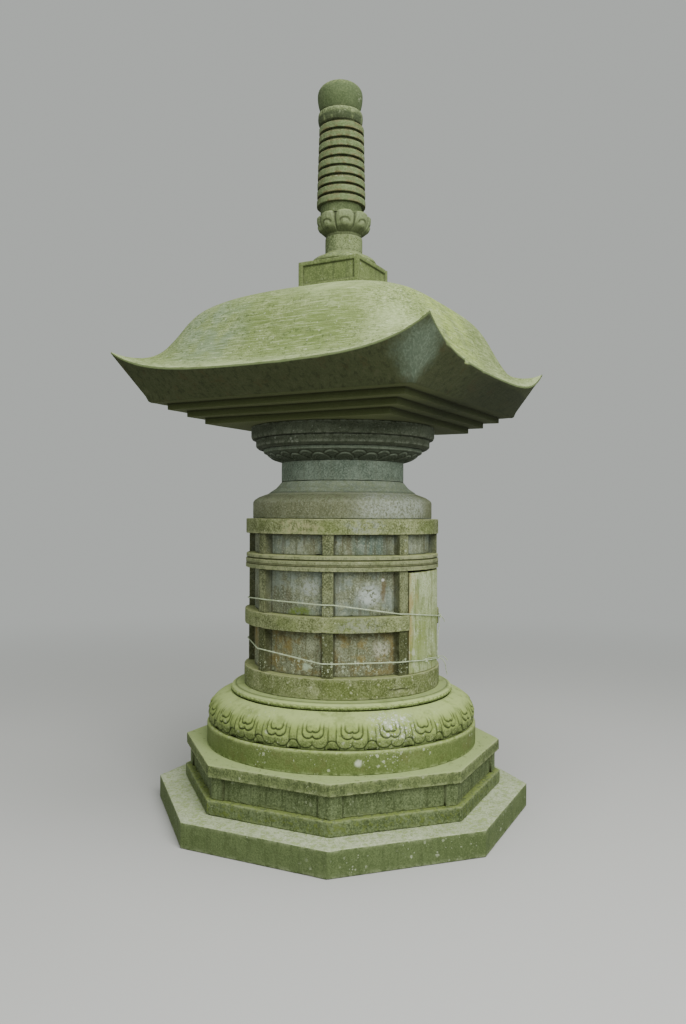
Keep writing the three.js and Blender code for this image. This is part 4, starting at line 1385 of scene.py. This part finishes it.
def make_roof():
    """A square swept up its rows, with its corners lifted and, on the crown, rounded"""
    half, height, lift, squareness, edge, hollow = (column[:, None] for column in roof_rows(span("roof")[0]).T)
    side = closer_at_ends(-1, 1, (0, 0.003, 0.008, 0.016, 0.03), 78)[:-1]
    scale = half / (1 + np.abs(side) ** squareness) ** (1 / squareness)
    bend = 0.27 * side ** 2 + 0.73 * np.abs(side) ** 5
    quarters = []
    for quarter in range(4):
        tip = np.where(side > 0, TIP_RISE[(quarter + 1) % 4], TIP_RISE[quarter])
        x, y, z = scale * side, -scale, height + lift * tip * bend
        c, s = round(cos(quarter * pi / 2)), round(sin(quarter * pi / 2))
        quarters.append(np.stack([c * x - s * y, s * x + c * y, z], axis=2))
    points = np.concatenate(quarters, axis=1)
    marks = {"edge": np.broadcast_to(edge, points.shape[:2]), "hollow": np.broadcast_to(hollow, points.shape[:2])}
    away = points - np.array(LIP_CHIP.place)
    points[:, :, 1] += LIP_CHIP.depth * np.exp(-(np.linalg.norm(away, axis=2) / LIP_CHIP.size) ** 2)
    piece = skin("worn_roof", points, True, False, marks)
    set_stone(piece, CROWN_STONE, "roof", wear=0.9, seed=60)


# Finial

def make_box():
    """The finial's square foot, with a sunk panel in each side"""
    foot, head = span("finial_box")
    half, inner, low, high = BOX.half, BOX.half - BOX.frame, foot + BOX.frame, head - BOX.frame
    rows = section([(0, foot), (half, foot, 90), (half, low, 6), (half, low + 2, 2), (half, high - 2, 6),
                    (half, high, 2), (half, head, 6), (0, head, 90)], 3)
    bearings = polygon_bearings(4, half, 36, (0, 2, 5, 10, 17, 23, 24, 25.5, 27, 29))
    def panel(bearings, rows):
        across = np.abs(np.tan(np.radians((bearings + 45) % 90 - 45))) * half
        height = rows.height[:, None]
        inside = np.minimum(inner - across, np.minimum(height - low, high - height))
        face = (rows.reach > half - 1)[:, None]
        sunk = smooth(inside, -1, 1.5) * face
        hollow = np.exp(-((inside - 3) / 4) ** 2) * face * 0.6
        return -BOX.recess * sunk, hollow, np.exp(-((inside + 2) / 3) ** 2) * face * 0.7
    piece = carve("worn_finial_box", rows, bearings, 0, polygon_plan(4), panel)
    set_stone(piece, FINIAL, "finial_box", seed=70)


def upturned_petals(foot, head, depth):
    """Eight upturned petals round a bowl, each with a flared lip and a round boss low on its face"""
    def relief(bearings, rows):
        share = np.abs((bearings + 20.5) % 45 - 22.5) / 22.5
        across = 1 - share
        up = ((rows.height - foot) / (head - foot))[:, None]
        outer = (rows.reach > 80)[:, None] * smooth(up, 0.08, 0.3)
        groove = np.exp(-(across / (0.07 + 0.16 * up ** 3)) ** 2)
        boss = np.hypot(share / 0.5, (up - 0.43) / 0.19)
        rim = np.exp(-((boss - 1.05) / 0.2) ** 2) * smooth(up, 0.4, 0.55)
        lip = smooth(up, 0.8, 0.95) * smooth(across, 0.1, 0.5)
        swell = 0.3 * np.cos(share * pi) + 0.5 * smooth(boss, 1.05, 0.4) + 0.35 * lip
        hollow = np.maximum(groove, 0.8 * rim) * outer * 0.8
        return depth * (swell - groove - 0.4 * rim) * outer, hollow, 0.7 * lip * outer
    return relief


def jewel_outline():
    """A full-shouldered ball with its foot cut level and its top drawn up to a low point"""
    low = [(JEWEL.radius * np.sqrt(1 - ((JEWEL.widest - level) / JEWEL.depth) ** 2), level)
           for level in np.linspace(0, JEWEL.widest, 9)[:-1]]
    dome, full = JEWEL.height - JEWEL.widest - JEWEL.point, 2 / JEWEL.power
    high = [(JEWEL.radius * cos(tilt) ** full, JEWEL.widest + dome * sin(tilt) ** full)
            for tilt in np.linspace(0, pi / 2, 17)[:-1]]
    return [*low, *high, (JEWEL.point, JEWEL.height)]


def make_lower_lotus():
    foot, head = span("lower_lotus")
    swell = [(reach, foot + rise, 4) for reach, rise in smooth_line(LOWER_LOTUS.swell, 20)]
    rows = section([(0, foot), (LOWER_LOTUS.foot, foot, 90), *swell, (LOWER_LOTUS.mouth, head, 5),
                    (0, head, 90)], 3)
    relief = upturned_petals(foot, head, LOWER_LOTUS.depth)
    piece = carve("worn_lower_lotus", rows, around(AROUND.petals), FINIAL_TURN, relief=relief)
    set_stone(piece, FINIAL, "lower_lotus", wear=0.8, seed=72)


def make_rings():
    """Nine rings on a short stem"""
    foot = span("ringed_shaft")[0]
    groove = RING.low - RING.groove
    rows = section([(0, 0), (RING.low, 0, 90), (RING.low, RING.height, 4), (groove, RING.height, 5),
                    (groove, RING.pitch, 5), (0, RING.pitch, 90)], 5)
    rings = grow("nine_rings", ring_tree(), carve("ring", rows, around(AROUND.ring)), rings=RINGS,
                 foot=(foot + RING.stem_height) * MM, pitch=RING.pitch * MM,
                 narrowing=(RING.low - RING.high) / RING.low / (RINGS - 1), stone=FINIAL.material)
    shift(rings, SET_OFF.shaft)
    set_stone(rings, FINIAL, "ringed_shaft", wear=0.9, seed=73)
    head = foot + RING.stem_height + 2
    rows = section([(0, foot), (RING.stem, foot, 60), (RING.stem, head, 5), (0, head, 60)], 2)
    stem = carve("shaft_stem", rows, around(AROUND.ring))
    shift(stem, SET_OFF.shaft)
    set_stone(stem, FINIAL, wear=0.6, seed=74)


def make_finial():
    make_box()
    bowl = [(BOWL.foot, 0), *smooth_line(BOWL.sweep, 15).tolist(), BOWL.neck]
    make_turned("inverted_bowl", bowl, FINIAL, seed=71, count=AROUND.finial, turn=FINIAL_TURN)
    make_lower_lotus()
    make_rings()
    make_turned("upper_lotus", UPPER_LOTUS, FINIAL, seed=75, count=AROUND.finial, aside=SET_OFF.upper_lotus)
    make_turned("jewel", jewel_outline(), FINIAL, seed=76, count=AROUND.finial, step=6, wear=0.8,
                aside=SET_OFF.jewel)


# Camera, light and floor

def place_camera():
    """The photograph's view"""
    bearing, distance, height = -61.78, 4.445, 1.5
    lens, upward, clockwise, rightward = 29.71, 0.256, 0.3, 0.039
    angle = radians(bearing)
    forward, right = Vector((-sin(angle), cos(angle), 0)), Vector((cos(angle), sin(angle), 0))
    up = Vector((0, 0, 1))
    yaw, tip, roll = radians(rightward), radians(upward), radians(clockwise)
    forward, right = forward * cos(yaw) + right * sin(yaw), right * cos(yaw) - forward * sin(yaw)
    forward, up = forward * cos(tip) + up * sin(tip), up * cos(tip) - forward * sin(tip)
    right, up = right * cos(roll) + up * sin(roll), up * cos(roll) - right * sin(roll)
    data = bpy.data.cameras.new("camera")
    data.lens = lens
    data.sensor_fit = "VERTICAL"
    data.sensor_height = 36.0
    camera = add_object("camera", data)
    view = Matrix((right, up, -forward)).transposed().to_4x4()
    camera.matrix_world = Matrix.Translation(eye_at(bearing, distance, height)) @ view
    bpy.context.scene.camera = camera


def eye_at(bearing, distance, height):
    """A place round the pagoda, in metres"""
    angle = radians(bearing)
    return Vector((sin(angle) * distance, -cos(angle) * distance, height))


def soft_light(name, energy, size, bearing, distance, height):
    """A round lamp that looks at the pagoda's middle, with its sizes in metres"""
    data = bpy.data.lights.new(name, "AREA")
    data.energy = energy
    data.shape = "DISK"
    data.size = size
    eye = eye_at(bearing, distance, height)
    aim = MIDDLE - eye
    look = aim.to_track_quat("-Z", "Y").to_matrix().to_4x4()
    add_object(name, data).matrix_world = Matrix.Translation(eye) @ look


def light_studio():
    world = bpy.data.worlds.new("studio")
    world.use_nodes = True
    background = world.node_tree.nodes["Background"].inputs
    background["Color"].default_value = STUDIO
    background["Strength"].default_value = 1.0
    bpy.context.scene.world = world
    soft_light("overhead", energy=260, size=4.5, bearing=-38, distance=2.2, height=7.5)
    soft_light("front", energy=330, size=4.0, bearing=-42, distance=5.4, height=4.6)


def lay_floor():
    """A pale floor that fades into the studio's far end"""
    half = FLOOR.half
    mesh = bpy.data.meshes.new("floor")
    mesh.from_pydata([(-half, -half, 0), (half, -half, 0), (half, half, 0), (-half, half, 0)], [], [(0, 1, 2, 3)])
    pale = bpy.data.materials.new("pale_floor")
    pale.use_nodes = True
    tree = pale.node_tree
    tree.nodes.clear()
    here = node(tree, "ShaderNodeTexCoord").outputs["Object"]
    distance = vector_math(tree, "LENGTH", {0: here}, "Value")
    near, far = FLOOR.fade
    fade = node(tree, "ShaderNodeMapRange", {"Value": distance, "From Min": near, "From Max": far},
                interpolation_type="SMOOTHSTEP").outputs[0]
    ground = node(tree, "ShaderNodeBsdfDiffuse", {"Color": FLOOR.colour}).outputs[0]
    backdrop = node(tree, "ShaderNodeEmission", {"Color": STUDIO, "Strength": 1.0}).outputs[0]
    mixed = node(tree, "ShaderNodeMixShader", {0: fade, 1: ground, 2: backdrop}).outputs[0]
    node(tree, "ShaderNodeOutputMaterial", {"Surface": mixed})
    mesh.materials.append(pale)
    add_object("floor", mesh)


place_camera()
light_studio()
lay_floor()
repeat_round = round_tree()
make_plinth()
make_lotus(repeat_round)
make_drum()
make_twine()
make_neck(repeat_round)
make_roof()
make_finial()
